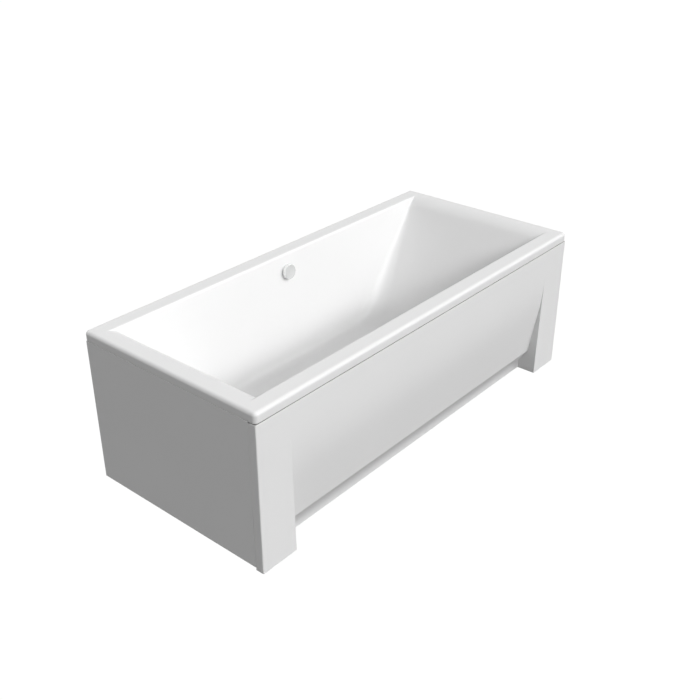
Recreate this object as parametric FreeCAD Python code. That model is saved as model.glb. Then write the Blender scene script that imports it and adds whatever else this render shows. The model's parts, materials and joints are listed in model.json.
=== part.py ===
"""Straight double-ended bathtub with a moulded front panel, one end panel, cradle, feet and waste set.

Frame: millimetres, +X along the tub, +Y towards the wall behind it, +Z up.
The origin is on the floor, under the middle of the tub.
"""

import FreeCAD, Part
import math
import os

from FreeCAD import Placement, Rotation, Vector

os.makedirs("parts", exist_ok=True)

X_AXIS = Vector(1, 0, 0)
Y_AXIS = Vector(0, 1, 0)
Z_AXIS = Vector(0, 0, 1)
ORIGIN = Vector(0, 0, 0)

# ---------------------------------------------------------------- driving dimensions

# Whole tub
TUB_LENGTH = 1800.0
TUB_WIDTH = 800.0
RIM_HEIGHT = 600.0

# Clearances between pieces
SEAT_GAP = 0.3  # between two pieces that rest against each other
RUNNING_FIT = 0.08  # radial, round a shaft or thread that turns
SCREW_FIT = 0.2  # radial, round a screw that passes through
LOOSE_FIT = 0.1  # radial, between tubes that plug together
ROOT_DEPTH = 1.0  # by which spokes and lugs run into the wall that they join
SAME_PLACE = 1e-3  # two heights or faces nearer than this are one

# Acrylic shell and its rim
SHELL_WALL = 5.0
LIP_HEIGHT = 36.0
RIM_CORNER_RADIUS = 15.0
RIM_EDGE_RADIUS = 13.0

# Basin
FLOOR_TOP = 145.0  # basin floor above the floor of the room
SIDE_DECK = 61.0
END_DECK = 38.0
SIDE_ROLL_RADIUS = 9.0
END_ROLL_RADIUS = 78.0
SIDE_TILT = 5.1  # degrees from upright
END_TILT = 38.0
SIDE_FLOOR_RADIUS = 45.0
CORNER_RADIUS_TOP = 4.0
CORNER_RADIUS_LOW = 85.0
ROLL_SECTIONS = 8
FLOOR_SECTIONS = 7

# Glass-fibre backing and base board
BACKING_WALL = 2.5
BOARD_THICKNESS = 16.0
BOARD_END_INSET = 510.0  # board in from the ends of the tub
BOARD_SIDE_INSET = 170.0  # board in from the sides of the tub
BOARD_CORNER_RADIUS = 30.0
BOARD_HOLE_RADIUS = 62.0

# Timber battens under the rim
BATTEN_WIDTH = 36.0
BATTEN_HEIGHT = 22.0
BATTEN_TO_LIP = 6.0

# Cradle rails
RAIL_INSET = 570.0  # middle of each rail in from its end of the tub
RAIL_WIDTH = 40.0
RAIL_HEIGHT = 25.0
RAIL_WALL = 2.0
RAIL_OVERHANG = 45.0

# Adjustable feet
FOOT_INSET = 140.0  # axis of each foot in from its side of the tub
STUD_RADIUS = 6.0
STUD_ABOVE_RAIL = 6.0
STUD_COLLAR_WIDTH = 17.0
STUD_COLLAR_HEIGHT = 8.0
PAD_RADIUS = 24.0
PAD_NECK_RADIUS = 11.0
PAD_BASE_HEIGHT = 7.0
PAD_HEIGHT = 22.0
PAD_SOLE = 8.0
FOOT_CHAMFER = 1.0  # on the pads and the upper ends of the studs
NUT_WIDTH = 19.0
NUT_HEIGHT = 10.0
LOCK_NUT_HEIGHT = 6.0

# Front panel
PANEL_WALL = 4.0
PANEL_GAP = 3.0
PANEL_CORNER_RADIUS = 4.0
PANEL_INNER_RADIUS = 0.5
PANEL_FLOOR_GAP = 1.0
PANEL_FLANGE = 22.0
LEG_WIDTH = 155.0  # at the floor
LEG_DRAFT = 1.4  # degrees, by which each leg narrows upwards
RETURN_DEPTH = 33.0
PLINTH_SET_BACK = 80.0
PLINTH_HEIGHT = 38.0
CURVE_TOP_HEIGHT = 440.0
CURVE_FOOT_HEIGHT = 95.0
CURVE_LEAN = 9.0  # degrees from upright
CURVE_RADIUS = 1100.0
CURVE_FOOT_RADIUS = 12.0

# End panel
END_PANEL_GAP = 1.0
END_PANEL_FLOOR_GAP = 10.0
END_PANEL_WALL_GAP = 5.0  # behind its back edge
PANEL_SEAM = 0.6
CORNER_FLANGE = 20.0

# Screws, bolts and clips
SCREW_RADIUS = 2.0
SCREW_HEAD_RADIUS = 4.0
SCREW_HEAD_HEIGHT = 2.2
SCREW_LENGTH = 16.0
RAIL_SCREW_COUNT = 4
RAIL_SCREW_INSET = 50.0  # outermost screws in from the sides of the board
CLIP_WIDTH = 40.0
CLIP_WALL = 1.8
CLIP_FOOT = 24.0
CLIP_TONGUE = 12.0
FRONT_CLIP_COUNT = 5
FRONT_CLIP_INSET = 180.0  # outermost clips in from the ends of the tub
END_CLIP_COUNT = 3
END_CLIP_INSET = 180.0  # outermost clips in from the sides of the tub
CORNER_BOLT_RADIUS = 3.0
CORNER_BOLT_HEAD = 10.0
CORNER_BOLT_COUNT = 3
CORNER_BOLT_LOW = 90.0  # lowest bolt above the floor
CORNER_BOLT_HIGH = 94.0  # highest bolt below the lip

# Plinth brackets
BRACKET_WALL = 3.0
BRACKET_WIDTH = 34.0
BRACKET_FLOOR_GAP = 11.5
BRACKET_REACH = 30.0

# Wall brackets
WALL_BRACKET_INSET = 300.0  # middle of each bracket in from its end of the tub
WALL_BRACKET_WIDTH = 50.0
WALL_BRACKET_WALL = 3.0
WALL_BRACKET_DROP = 60.0
WALL_HOLE_RADIUS = 3.5
WALL_HOLE_PITCH = 30.0

# Overflow set, in the back wall
OVERFLOW_DROP = 73.0
OVERFLOW_HOLE_RADIUS = 26.0
KNOB_RADIUS = 30.0
KNOB_DEPTH = 12.0
KNOB_STAND_OFF = 6.0
KNOB_EDGE_RADIUS = 3.0
KNOB_WALL = 2.5
SPINDLE_RADIUS = 4.0
FACE_RING_THICKNESS = 3.0
FACE_RING_LIP = 2.0
GASKET_THICKNESS = 3.0
GASKET_WIDTH = 9.0
OVERFLOW_BODY_DEPTH = 44.0
OVERFLOW_BODY_WALL = 3.0
DRUM_RADIUS = 14.0
DRUM_THICKNESS = 6.0
OVERFLOW_SCREW_CIRCLE = 17.0
OVERFLOW_LUG_RADIUS = 5.0

# Overflow hose and pull cable
HOSE_RADIUS = 13.0
HOSE_WALL = 3.0
HOSE_BEND_RADIUS = 62.0
SPIGOT_LENGTH = 26.0
HOSE_NUT_RADIUS = 18.0
HOSE_NUT_LENGTH = 18.0
HOSE_NUT_GROOVES = 12
GROOVE_SHARE = 0.07  # radius of a grip groove, of the radius of its nut
SHOULDER_SHARE = 0.2  # length of a nut without grooves, of its whole length
CABLE_RADIUS = 2.5
CABLE_OFFSET = 22.5
CABLE_BEND_RADIUS = 60.0
CABLE_LEAD = 15.0  # straight cable in front of the lower ferrule
FERRULE_RADIUS = 4.0
FERRULE_LENGTH = 10.0

# Waste set, in the middle of the floor
WASTE_HOLE_RADIUS = 26.0
WASTE_FLANGE_RADIUS = 35.0
WASTE_FLANGE_THICKNESS = 2.4
WASTE_TUBE_WALL = 2.5
WASTE_TUBE_LENGTH = 22.0
WASTE_HUB_RADIUS = 7.0
WASTE_SPOKE_WIDTH = 4.0
WASTE_SPOKE_HEIGHT = 5.0
FLAT_GASKET_THICKNESS = 1.0
FLAT_GASKET_INSET = 1.0
PLUG_RADIUS = 33.0
PLUG_EDGE = 2.0
PLUG_RISE = 4.0
PLUG_SKIRT_RADIUS = 20.0
PLUG_STEM_RADIUS = 3.0
PLUG_FOOT_RADIUS = 5.0
PLUG_FOOT_HEIGHT = 3.0
PLUG_TRAVEL = 10.0
SEAL_THICKNESS = 2.2
WASTE_BODY_RADIUS = 33.0
WASTE_BODY_WALL = 3.5
WASTE_BODY_DEPTH = 72.0
WASTE_BODY_FLANGE_RADIUS = 42.0
WASTE_BODY_FLANGE = 4.0
LEVER_ARM = 18.0
LEVER_TAIL = 15.0
LEVER_TAIL_WIDTH = 5.0
LEVER_NOSE_RADIUS = 4.0
LEVER_WIDTH = 8.0
LEVER_PIN_RADIUS = 2.0
LEVER_BOSS_RADIUS = 4.5
LEVER_HANG = 34.0  # lever pin below the top of the waste body
CABLE_HANG = 19.5  # cable inlet below the top of the waste body
WASTE_NECK_HEIGHT = 8.5
LUG_THICKNESS = 3.0

# Trap and outlet
PIPE_RADIUS = 20.0
PIPE_WALL = 2.4
TRAP_OFFSET = 108.0
TRAP_RADIUS = 40.0
TRAP_WALL = 3.5
TRAP_BASE_HEIGHT = 10.0
TRAP_TO_BOARD = 12.5
TRAP_CAP_HEIGHT = 8.0
PIPE_NUT_RADIUS = 27.0
PIPE_NUT_LENGTH = 18.0
PIPE_NUT_CLEARANCE = 1.0  # between a union nut and the wall beside it
PIPE_NUT_GROOVES = 16
TRAP_CAP_GROOVES = 18
INLET_DROP = 50.0  # waste body's outlet below its top
OUTLET_DROP = 22.0  # outlet pipe below the inlet
OUTLET_END_GAP = 8.0  # pipe's free end inside the wall line
PIPE_BEAD_RADIUS = 22.5
PIPE_BEAD_WIDTH = 3.0

# ---------------------------------------------------------------- worked-out places

HALF_LENGTH = TUB_LENGTH / 2
HALF_WIDTH = TUB_WIDTH / 2
BOARD_LENGTH = TUB_LENGTH - 2 * BOARD_END_INSET
BOARD_WIDTH = TUB_WIDTH - 2 * BOARD_SIDE_INSET
RAIL_X = HALF_LENGTH - RAIL_INSET
FOOT_Y = HALF_WIDTH - FOOT_INSET
WALL_BRACKET_X = HALF_LENGTH - WALL_BRACKET_INSET
LIP_BOTTOM = RIM_HEIGHT - LIP_HEIGHT
BACKING_OFFSET = SHELL_WALL + BACKING_WALL
BOARD_TOP = FLOOR_TOP - BACKING_OFFSET
BOARD_BOTTOM = BOARD_TOP - BOARD_THICKNESS
DECK_UNDERSIDE = RIM_HEIGHT - BACKING_OFFSET
BATTEN_BOTTOM = DECK_UNDERSIDE - BATTEN_HEIGHT
PANEL_TOP = LIP_BOTTOM - PANEL_GAP
PLINTH_Y = -HALF_WIDTH + PLINTH_SET_BACK
PLINTH_BACK_Y = PLINTH_Y + PANEL_WALL


# ---------------------------------------------------------------- helpers


def save(name, shape):
    """Write one node."""
    shape.exportStep(f"parts/{name}.step")


def block(x0, x1, y0, y1, z0, z1):
    """Box between two corners."""
    return Part.makeBox(x1 - x0, y1 - y0, z1 - z0, Vector(x0, y0, z0))


def rod(radius, length, base=ORIGIN, axis=Z_AXIS):
    """Round bar from base along axis."""
    return Part.makeCylinder(radius, length, base, axis)


def tube(outer, inner, length, base=ORIGIN, axis=Z_AXIS):
    """Round tube from base along axis."""
    return rod(outer, length, base, axis).cut(rod(inner, length, base, axis))


def hexagon(width, height, base):
    """Upright hexagonal prism, width measured across its flats."""
    corner = width / math.sqrt(3)
    angles = [math.radians(60 * k) for k in range(7)]
    points = [base + Vector(corner * math.cos(a), corner * math.sin(a), 0) for a in angles]
    return Part.Face(Part.makePolygon(points)).extrude(Vector(0, 0, height))


def rounded_outline(half_x, half_y, radius, z):
    """Closed wire: a rectangle about the Z axis with rounded corners."""
    edges = []
    turn = radius * (1 - math.sqrt(0.5))
    signs = [(1, 1), (-1, 1), (-1, -1), (1, -1)]
    starts = []
    for k, (sx, sy) in enumerate(signs):
        along_x = Vector(sx * (half_x - radius), sy * half_y, z)
        along_y = Vector(sx * half_x, sy * (half_y - radius), z)
        middle = Vector(sx * (half_x - turn), sy * (half_y - turn), z)
        first, last = (along_y, along_x) if k % 2 == 0 else (along_x, along_y)
        starts.append((first, middle, last))
    for k, (first, middle, last) in enumerate(starts):
        edges.append(Part.Arc(first, middle, last).toShape())
        edges.append(Part.LineSegment(last, starts[(k + 1) % 4][0]).toShape())
    return Part.Wire(edges)


def rounded_slab(half_x, half_y, radius, z0, z1):
    """Flat slab about the Z axis with rounded corners."""
    return Part.Face(rounded_outline(half_x, half_y, radius, z0)).extrude(Vector(0, 0, z1 - z0))


def edges_at_height(shape, z):
    """Level edges of a shape at one height."""
    boxes = [(e, e.BoundBox) for e in shape.Edges]
    return [e for e, box in boxes if abs(box.ZMin - z) < SAME_PLACE and abs(box.ZMax - z) < SAME_PLACE]


def even_places(reach, count):
    """Evenly spaced places from -reach to +reach."""
    return [reach * (2 * k / (count - 1) - 1) for k in range(count)]


def bent_path(points, radius):
    """Wire through points, with a tangent arc of one radius at each inner corner."""
    edges = []
    here = points[0]
    for before, corner, after in zip(points, points[1:], points[2:]):
        back = (before - corner).normalize()
        ahead = (after - corner).normalize()
        half_angle = back.getAngle(ahead) / 2
        reach = radius / math.tan(half_angle)
        start = corner + back * reach
        end = corner + ahead * reach
        centre = corner + (back + ahead).normalize() * (radius / math.sin(half_angle))
        middle = centre + (corner - centre).normalize() * radius
        edges.append(Part.LineSegment(here, start).toShape())
        edges.append(Part.Arc(start, middle, end).toShape())
        here = end
    edges.append(Part.LineSegment(here, points[-1]).toShape())
    return Part.Wire(edges)


def swept_rod(path, radius):
    """Round solid along a path."""
    start = path.Edges[0]
    direction = start.tangentAt(start.FirstParameter)
    circle = Part.Wire(Part.makeCircle(radius, start.valueAt(start.FirstParameter), direction))
    return path.makePipeShell([circle], True, False)


# ---------------------------------------------------------------- basin


class Wall:
    """Section of one basin wall: rolled top, straight slope, rounded foot.

    Distances are measured out from the middle of the tub. An offset moves the
    whole section into the material, square to its surface.
    """

    def __init__(self, deck_edge, roll, tilt, foot):
        self.tilt = math.radians(tilt)
        self.roll = roll
        self.foot = foot
        self.roll_out = deck_edge
        self.roll_z = RIM_HEIGHT - roll
        self.foot_z = FLOOR_TOP + foot
        slope_top = deck_edge - roll * math.cos(self.tilt)
        fall = self.roll_z + roll * math.sin(self.tilt) - self.foot_start(0)
        self.foot_out = slope_top - fall * math.tan(self.tilt) - foot * math.cos(self.tilt)

    def roll_end(self, offset):
        """Height where the rolled top meets the slope."""
        return self.roll_z + (self.roll - offset) * math.sin(self.tilt)

    def foot_start(self, offset):
        """Height where the slope meets the rounded foot."""
        return self.foot_z - (self.foot + offset) * math.sin(self.tilt)

    def reach(self, z, offset=0.0):
        """Distance of the surface from the middle of the tub at one height."""
        if z >= self.roll_end(offset):
            radius = self.roll - offset
            return self.roll_out - math.sqrt(max(radius**2 - (z - self.roll_z) ** 2, 0))
        if z <= self.foot_start(offset):
            radius = self.foot + offset
            return self.foot_out + math.sqrt(max(radius**2 - (self.foot_z - z) ** 2, 0))
        drop = self.roll_end(offset) - z
        top = self.roll_out - (self.roll - offset) * math.cos(self.tilt)
        return top - drop * math.tan(self.tilt)


# The feet of both walls start to round at one height, which gives the ends their larger radius.
END_FLOOR_RADIUS = (
    SIDE_FLOOR_RADIUS * (1 - math.sin(math.radians(SIDE_TILT))) / (1 - math.sin(math.radians(END_TILT)))
)
SIDE_WALL = Wall(HALF_WIDTH - SIDE_DECK, SIDE_ROLL_RADIUS, SIDE_TILT, SIDE_FLOOR_RADIUS)
END_WALL = Wall(HALF_LENGTH - END_DECK, END_ROLL_RADIUS, END_TILT, END_FLOOR_RADIUS)


def basin_corner(z, offset):
    """Plan radius of the basin's upright corners, which opens out with depth."""
    foot = SIDE_WALL.foot_start(offset)
    low = max(z, foot)
    share = (RIM_HEIGHT - low) / (RIM_HEIGHT - foot)
    radius = CORNER_RADIUS_TOP + (CORNER_RADIUS_LOW - CORNER_RADIUS_TOP) * share + offset
    return radius - (SIDE_WALL.reach(low, offset) - SIDE_WALL.reach(z, offset)) * (z < foot)


def basin_section(z, offset):
    """Plan outline of the basin at one height."""
    return rounded_outline(END_WALL.reach(z, offset), SIDE_WALL.reach(z, offset), basin_corner(z, offset), z)


def basin_body(offset):
    """Solid that fills the basin out to its surface moved into the material by offset."""
    roll = END_ROLL_RADIUS - offset
    top = RIM_HEIGHT - offset
    bottom = FLOOR_TOP - offset
    roll_angles = [90 - (90 - END_TILT) * k / ROLL_SECTIONS for k in range(ROLL_SECTIONS + 1)]
    roll_levels = [END_WALL.roll_z + roll * math.sin(math.radians(a)) for a in roll_angles]
    roll_levels[0] = top
    foot = SIDE_FLOOR_RADIUS + offset
    foot_angles = [(90 - SIDE_TILT) * (1 - k / FLOOR_SECTIONS) for k in range(FLOOR_SECTIONS + 1)]
    foot_levels = [SIDE_WALL.foot_z - foot * math.cos(math.radians(a)) for a in foot_angles]
    foot_levels[-1] = bottom
    levels = roll_levels + foot_levels
    return Part.makeLoft([basin_section(z, offset) for z in levels], True, True)


def overflow_place():
    """Frame on the back wall's inner face: local +Z points into the basin, local +Y up the wall."""
    z = RIM_HEIGHT - OVERFLOW_DROP
    return Placement(Vector(0, SIDE_WALL.reach(z), z), Rotation(X_AXIS, 90 - SIDE_TILT))


OVERFLOW = overflow_place()


def on_overflow(shape):
    """Move a shape from the overflow's own frame into the tub's frame."""
    moved = shape.copy()
    moved.Placement = OVERFLOW.multiply(moved.Placement)
    return moved


def rim_void(depth, top, radius_less):
    """Space under the deck, inside the down-turned lip."""
    slab = rounded_slab(
        HALF_LENGTH - depth,
        HALF_WIDTH - depth,
        RIM_CORNER_RADIUS - radius_less,
        LIP_BOTTOM - depth,
        top,
    )
    return slab.makeFillet(RIM_EDGE_RADIUS - radius_less, edges_at_height(slab, top))


def overflow_hole():
    """Cutter for the round hole through the back wall."""
    through = 4 * BACKING_OFFSET
    return on_overflow(rod(OVERFLOW_HOLE_RADIUS, through, Vector(0, 0, -through / 2)))


def waste_hole(radius):
    """Cutter for the round hole through the floor."""
    return rod(radius, 2 * BACKING_OFFSET + BOARD_THICKNESS, Vector(0, 0, BOARD_BOTTOM - BACKING_OFFSET))


def bath_shell():
    """Vacuum-formed acrylic tub: deck, down-turned lip and basin in one sheet."""
    rim = rounded_slab(HALF_LENGTH, HALF_WIDTH, RIM_CORNER_RADIUS, LIP_BOTTOM, RIM_HEIGHT)
    rim = rim.makeFillet(RIM_EDGE_RADIUS, edges_at_height(rim, RIM_HEIGHT))
    rim = rim.cut(rim_void(SHELL_WALL, RIM_HEIGHT - SHELL_WALL, SHELL_WALL))
    tub = rim.fuse(basin_body(SHELL_WALL))
    return tub.cut(basin_body(0.0)).cut(waste_hole(WASTE_HOLE_RADIUS)).cut(overflow_hole())


def glass_fibre_backing():
    """Sprayed glass-fibre layer on the underside of the deck and basin."""
    top = RIM_HEIGHT - SHELL_WALL
    edge = SHELL_WALL + RIM_EDGE_RADIUS
    deck = rounded_slab(HALF_LENGTH - edge, HALF_WIDTH - edge, RIM_CORNER_RADIUS, DECK_UNDERSIDE, top)
    layer = deck.fuse(basin_body(BACKING_OFFSET)).cut(basin_body(SHELL_WALL))
    return layer.cut(waste_hole(WASTE_HOLE_RADIUS)).cut(overflow_hole())


# ---------------------------------------------------------------- base board, battens and cradle


def rail_screw_points():
    """Screw places along both cradle rails."""
    rows = even_places(BOARD_WIDTH / 2 - RAIL_SCREW_INSET, RAIL_SCREW_COUNT)
    return [Vector(side * RAIL_X, y, 0) for side in (-1, 1) for y in rows]


def wood_screw(point, head_z, length):
    """Pan-head screw driven upwards, its head's top face at head_z."""
    base = Vector(point.x, point.y, head_z - SCREW_HEAD_HEIGHT)
    head = rod(SCREW_HEAD_RADIUS, SCREW_HEAD_HEIGHT, base)
    return head.fuse(rod(SCREW_RADIUS, SCREW_HEAD_HEIGHT + length, base))


def base_board():
    """Board under the flat floor, with a hole round the waste and pilot holes for the rails."""
    board = rounded_slab(BOARD_LENGTH / 2, BOARD_WIDTH / 2, BOARD_CORNER_RADIUS, BOARD_BOTTOM, BOARD_TOP)
    board = board.cut(rod(BOARD_HOLE_RADIUS, BOARD_THICKNESS, Vector(0, 0, BOARD_BOTTOM)))
    pilot = SCREW_RADIUS + RUNNING_FIT
    depth = SCREW_LENGTH - RAIL_WALL
    for point in rail_screw_points():
        board = board.cut(rod(pilot, depth, Vector(point.x, point.y, BOARD_BOTTOM)))
    return board


BATTEN_FRONT_Y = -HALF_WIDTH + SHELL_WALL + BATTEN_TO_LIP
BATTEN_END_X = HALF_LENGTH - SHELL_WALL - BATTEN_TO_LIP


def front_clip_xs():
    """Places of the front panel's clips along the tub."""
    return even_places(HALF_LENGTH - FRONT_CLIP_INSET, FRONT_CLIP_COUNT)


def end_clip_ys():
    """Places of the end panel's clips across the tub."""
    return even_places(HALF_WIDTH - END_CLIP_INSET, END_CLIP_COUNT)


CLIP_SCREW_INSET = PANEL_FLANGE + CLIP_WALL + CLIP_FOOT / 2


def clip_screw_points():
    """Screw places of all panel clips, on the undersides of the battens."""
    front = [Vector(x, -HALF_WIDTH + CLIP_SCREW_INSET, 0) for x in front_clip_xs()]
    end = [Vector(-HALF_LENGTH + CLIP_SCREW_INSET, y, 0) for y in end_clip_ys()]
    return front + end


def with_pilots(batten):
    """Batten with the clip screws' pilot holes."""
    for point in clip_screw_points():
        pilot = rod(SCREW_RADIUS + RUNNING_FIT, SCREW_LENGTH, Vector(point.x, point.y, BATTEN_BOTTOM))
        batten = batten.cut(pilot)
    return batten


def long_batten(side):
    """Timber batten under a long side of the rim; side is -1 at the front."""
    near = -side * BATTEN_FRONT_Y
    far = near - side * BATTEN_WIDTH
    y0 = min(near, far)
    y1 = max(near, far)
    return with_pilots(block(-BATTEN_END_X, BATTEN_END_X, y0, y1, BATTEN_BOTTOM, DECK_UNDERSIDE))


def end_batten(side):
    """Timber batten under an end of the rim, planed to its curve; side is -1 at the left."""
    near = side * BATTEN_END_X
    far = near - side * BATTEN_WIDTH
    half = -BATTEN_FRONT_Y - BATTEN_WIDTH - SEAT_GAP
    batten = block(min(near, far), max(near, far), -half, half, BATTEN_BOTTOM, DECK_UNDERSIDE)
    return with_pilots(batten.cut(basin_body(BACKING_OFFSET)))


RAIL_HALF = FOOT_Y + RAIL_OVERHANG
RAIL_WEB_BOTTOM = BOARD_BOTTOM - RAIL_WALL


def foot_points():
    """Name and place of each foot."""
    names = [("front", -1), ("back", 1)]
    sides = [("left", -1), ("right", 1)]
    return [
        (f"{row}_{side}", Vector(sx * RAIL_X, sy * FOOT_Y, 0))
        for row, sy in names
        for side, sx in sides
    ]


def cradle_rail(side):
    """Folded steel channel, open below, across the underside of the board."""
    x = side * RAIL_X
    half = RAIL_WIDTH / 2
    low = BOARD_BOTTOM - RAIL_HEIGHT
    outer = block(x - half, x + half, -RAIL_HALF, RAIL_HALF, low, BOARD_BOTTOM)
    inner = half - RAIL_WALL
    rail = outer.cut(block(x - inner, x + inner, -RAIL_HALF, RAIL_HALF, low, RAIL_WEB_BOTTOM))
    for point in rail_screw_points():
        hole = rod(SCREW_RADIUS + SCREW_FIT, RAIL_WALL, Vector(point.x, point.y, RAIL_WEB_BOTTOM))
        rail = rail.cut(hole)
    for _, foot in foot_points():
        rail = rail.cut(rod(STUD_RADIUS + RUNNING_FIT, RAIL_WALL, Vector(foot.x, foot.y, RAIL_WEB_BOTTOM)))
    bolt_y = -RAIL_HALF + BRACKET_REACH / 2
    return rail.cut(rod(SCREW_RADIUS + SCREW_FIT, RAIL_WALL, Vector(x, bolt_y, RAIL_WEB_BOTTOM)))


def rail_screws():
    """Wood screws that hold the rails to the board."""
    points = rail_screw_points()
    return Part.makeCompound([wood_screw(p, RAIL_WEB_BOTTOM, SCREW_LENGTH) for p in points])


def nut(foot, top, height):
    """Hexagonal nut round a foot's stud."""
    base = Vector(foot.x, foot.y, top - height)
    return hexagon(NUT_WIDTH, height, base).cut(rod(STUD_RADIUS + RUNNING_FIT, height, base))


def thread_nuts():
    """Nuts welded under the rails, which the studs screw through."""
    return Part.makeCompound([nut(foot, RAIL_WEB_BOTTOM, NUT_HEIGHT) for _, foot in foot_points()])


def lock_nuts():
    """Thin nuts tightened up against the welded ones."""
    top = RAIL_WEB_BOTTOM - NUT_HEIGHT
    return Part.makeCompound([nut(foot, top, LOCK_NUT_HEIGHT) for _, foot in foot_points()])


def foot_pad(foot):
    """Moulded foot: broad sole, conical flank and a neck with a blind socket for the stud."""
    base = Vector(foot.x, foot.y, 0)
    sole = rod(PAD_RADIUS, PAD_BASE_HEIGHT, base)
    sole = sole.makeChamfer(FOOT_CHAMFER, edges_at_height(sole, 0))
    flank_base = base + Vector(0, 0, PAD_BASE_HEIGHT)
    flank = Part.makeCone(PAD_RADIUS, PAD_NECK_RADIUS, PAD_HEIGHT - PAD_BASE_HEIGHT, flank_base, Z_AXIS)
    socket_base = base + Vector(0, 0, PAD_SOLE)
    return sole.fuse(flank).cut(rod(STUD_RADIUS + RUNNING_FIT, PAD_HEIGHT, socket_base)).removeSplitter()


def foot_stud(foot):
    """Threaded stud with a hexagonal collar for a spanner."""
    bottom = PAD_SOLE + SEAT_GAP
    top = BOARD_BOTTOM + STUD_ABOVE_RAIL
    shank = rod(STUD_RADIUS, top - bottom, Vector(foot.x, foot.y, bottom))
    shank = shank.makeChamfer(FOOT_CHAMFER, edges_at_height(shank, top))
    collar = hexagon(STUD_COLLAR_WIDTH, STUD_COLLAR_HEIGHT, Vector(foot.x, foot.y, PAD_HEIGHT + SEAT_GAP))
    return shank.fuse(collar)


# ---------------------------------------------------------------- panels


def apron_profile(depth):
    """Outline in Y and Z of the space in front of the panel's middle, with the surface moved back by depth.

    The face is upright at the top, curves into a straight lean, turns under at
    a small radius and runs down to the set-back plinth.
    """
    lean = math.radians(CURVE_LEAN)
    face_y = -HALF_WIDTH + depth
    plinth_y = PLINTH_Y + depth
    radius = CURVE_RADIUS - depth
    bend_z = CURVE_TOP_HEIGHT - radius * math.sin(lean)
    bend_y = face_y + radius * (1 - math.cos(lean))
    half = lean / 2
    middle = Vector(0, face_y + radius * (1 - math.cos(half)), CURVE_TOP_HEIGHT - radius * math.sin(half))
    top = Vector(0, face_y, CURVE_TOP_HEIGHT)
    bend = Vector(0, bend_y, bend_z)
    shift = depth / math.cos(lean)
    nominal_bend_z = CURVE_TOP_HEIGHT - CURVE_RADIUS * math.sin(lean)
    nominal_bend_y = -HALF_WIDTH + CURVE_RADIUS * (1 - math.cos(lean))
    foot_nominal_y = nominal_bend_y + (nominal_bend_z - CURVE_FOOT_HEIGHT) * math.tan(lean)
    under = math.atan2(PLINTH_Y - foot_nominal_y, CURVE_FOOT_HEIGHT - PLINTH_HEIGHT)
    # corner where the moved lean meets the moved underside
    lean_y = foot_nominal_y + shift
    under_y = foot_nominal_y + depth / math.cos(under)
    fall = (under_y - lean_y) / (math.tan(lean) - math.tan(under))
    corner = Vector(0, lean_y + fall * math.tan(lean), CURVE_FOOT_HEIGHT - fall)
    plinth_fall = (plinth_y - under_y) / math.tan(under)
    plinth_top = Vector(0, plinth_y, CURVE_FOOT_HEIGHT - plinth_fall)
    foot_radius = CURVE_FOOT_RADIUS - depth
    up = (bend - corner).normalize()
    back = (plinth_top - corner).normalize()
    half_angle = up.getAngle(back) / 2
    reach = foot_radius / math.tan(half_angle)
    centre = corner + (up + back).normalize() * (foot_radius / math.sin(half_angle))
    arc_middle = centre + (corner - centre).normalize() * foot_radius
    arc_start = corner + up * reach
    arc_end = corner + back * reach
    below = -PLINTH_HEIGHT
    ahead = -HALF_WIDTH - PLINTH_SET_BACK
    corners = [
        plinth_top,
        Vector(0, plinth_y, below),
        Vector(0, ahead, below),
        Vector(0, ahead, CURVE_TOP_HEIGHT),
        top,
    ]
    edges = [
        Part.Arc(top, middle, bend).toShape(),
        Part.LineSegment(bend, arc_start).toShape(),
        Part.Arc(arc_start, arc_middle, arc_end).toShape(),
        Part.LineSegment(arc_end, plinth_top).toShape(),
    ]
    edges += [Part.LineSegment(a, b).toShape() for a, b in zip(corners, corners[1:])]
    return Part.Wire(edges)


def apron_space(depth):
    """Space in front of the panel's middle, between the legs."""
    draft = math.radians(LEG_DRAFT)
    foot_half = HALF_LENGTH - LEG_WIDTH + depth / math.cos(draft)
    top_half = foot_half + CURVE_TOP_HEIGHT * math.tan(draft)
    low_half = foot_half - PLINTH_HEIGHT * math.tan(draft)
    corners = [
        Vector(-low_half, PLINTH_BACK_Y, -PLINTH_HEIGHT),
        Vector(low_half, PLINTH_BACK_Y, -PLINTH_HEIGHT),
        Vector(top_half, PLINTH_BACK_Y, CURVE_TOP_HEIGHT),
        Vector(-top_half, PLINTH_BACK_Y, CURVE_TOP_HEIGHT),
    ]
    outline = Part.makePolygon(corners + corners[:1])
    between_legs = Part.Face(outline).extrude(Vector(0, -HALF_WIDTH, 0))
    face = Part.Face(apron_profile(depth))
    face.translate(Vector(-top_half, 0, 0))
    return face.extrude(Vector(2 * top_half, 0, 0)).common(between_legs)


def panel_block(depth, top, bottom):
    """Solid behind the panel's front surface moved back by depth."""
    half_x = HALF_LENGTH - depth
    body = block(-half_x, half_x, -HALF_WIDTH + depth, PLINTH_BACK_Y, bottom, top)
    face_y = -HALF_WIDTH + depth
    upright = [e for e in body.Edges if e.BoundBox.ZLength > SAME_PLACE]
    front_corners = [e for e in upright if abs(e.BoundBox.YMax - face_y) < SAME_PLACE]
    body = body.makeFillet(max(PANEL_CORNER_RADIUS - depth, PANEL_INNER_RADIUS), front_corners)
    return body.cut(apron_space(depth))


def corner_bolt_zs():
    """Heights of the bolts that join the two panels."""
    high = LIP_BOTTOM - CORNER_BOLT_HIGH
    middle = (CORNER_BOLT_LOW + high) / 2
    return [middle + z for z in even_places(high - middle, CORNER_BOLT_COUNT)]


CORNER_BOLT_X = -HALF_LENGTH + PANEL_WALL + (CORNER_FLANGE - PANEL_WALL) / 2
SEAM_Y = -HALF_WIDTH + RETURN_DEPTH


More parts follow.
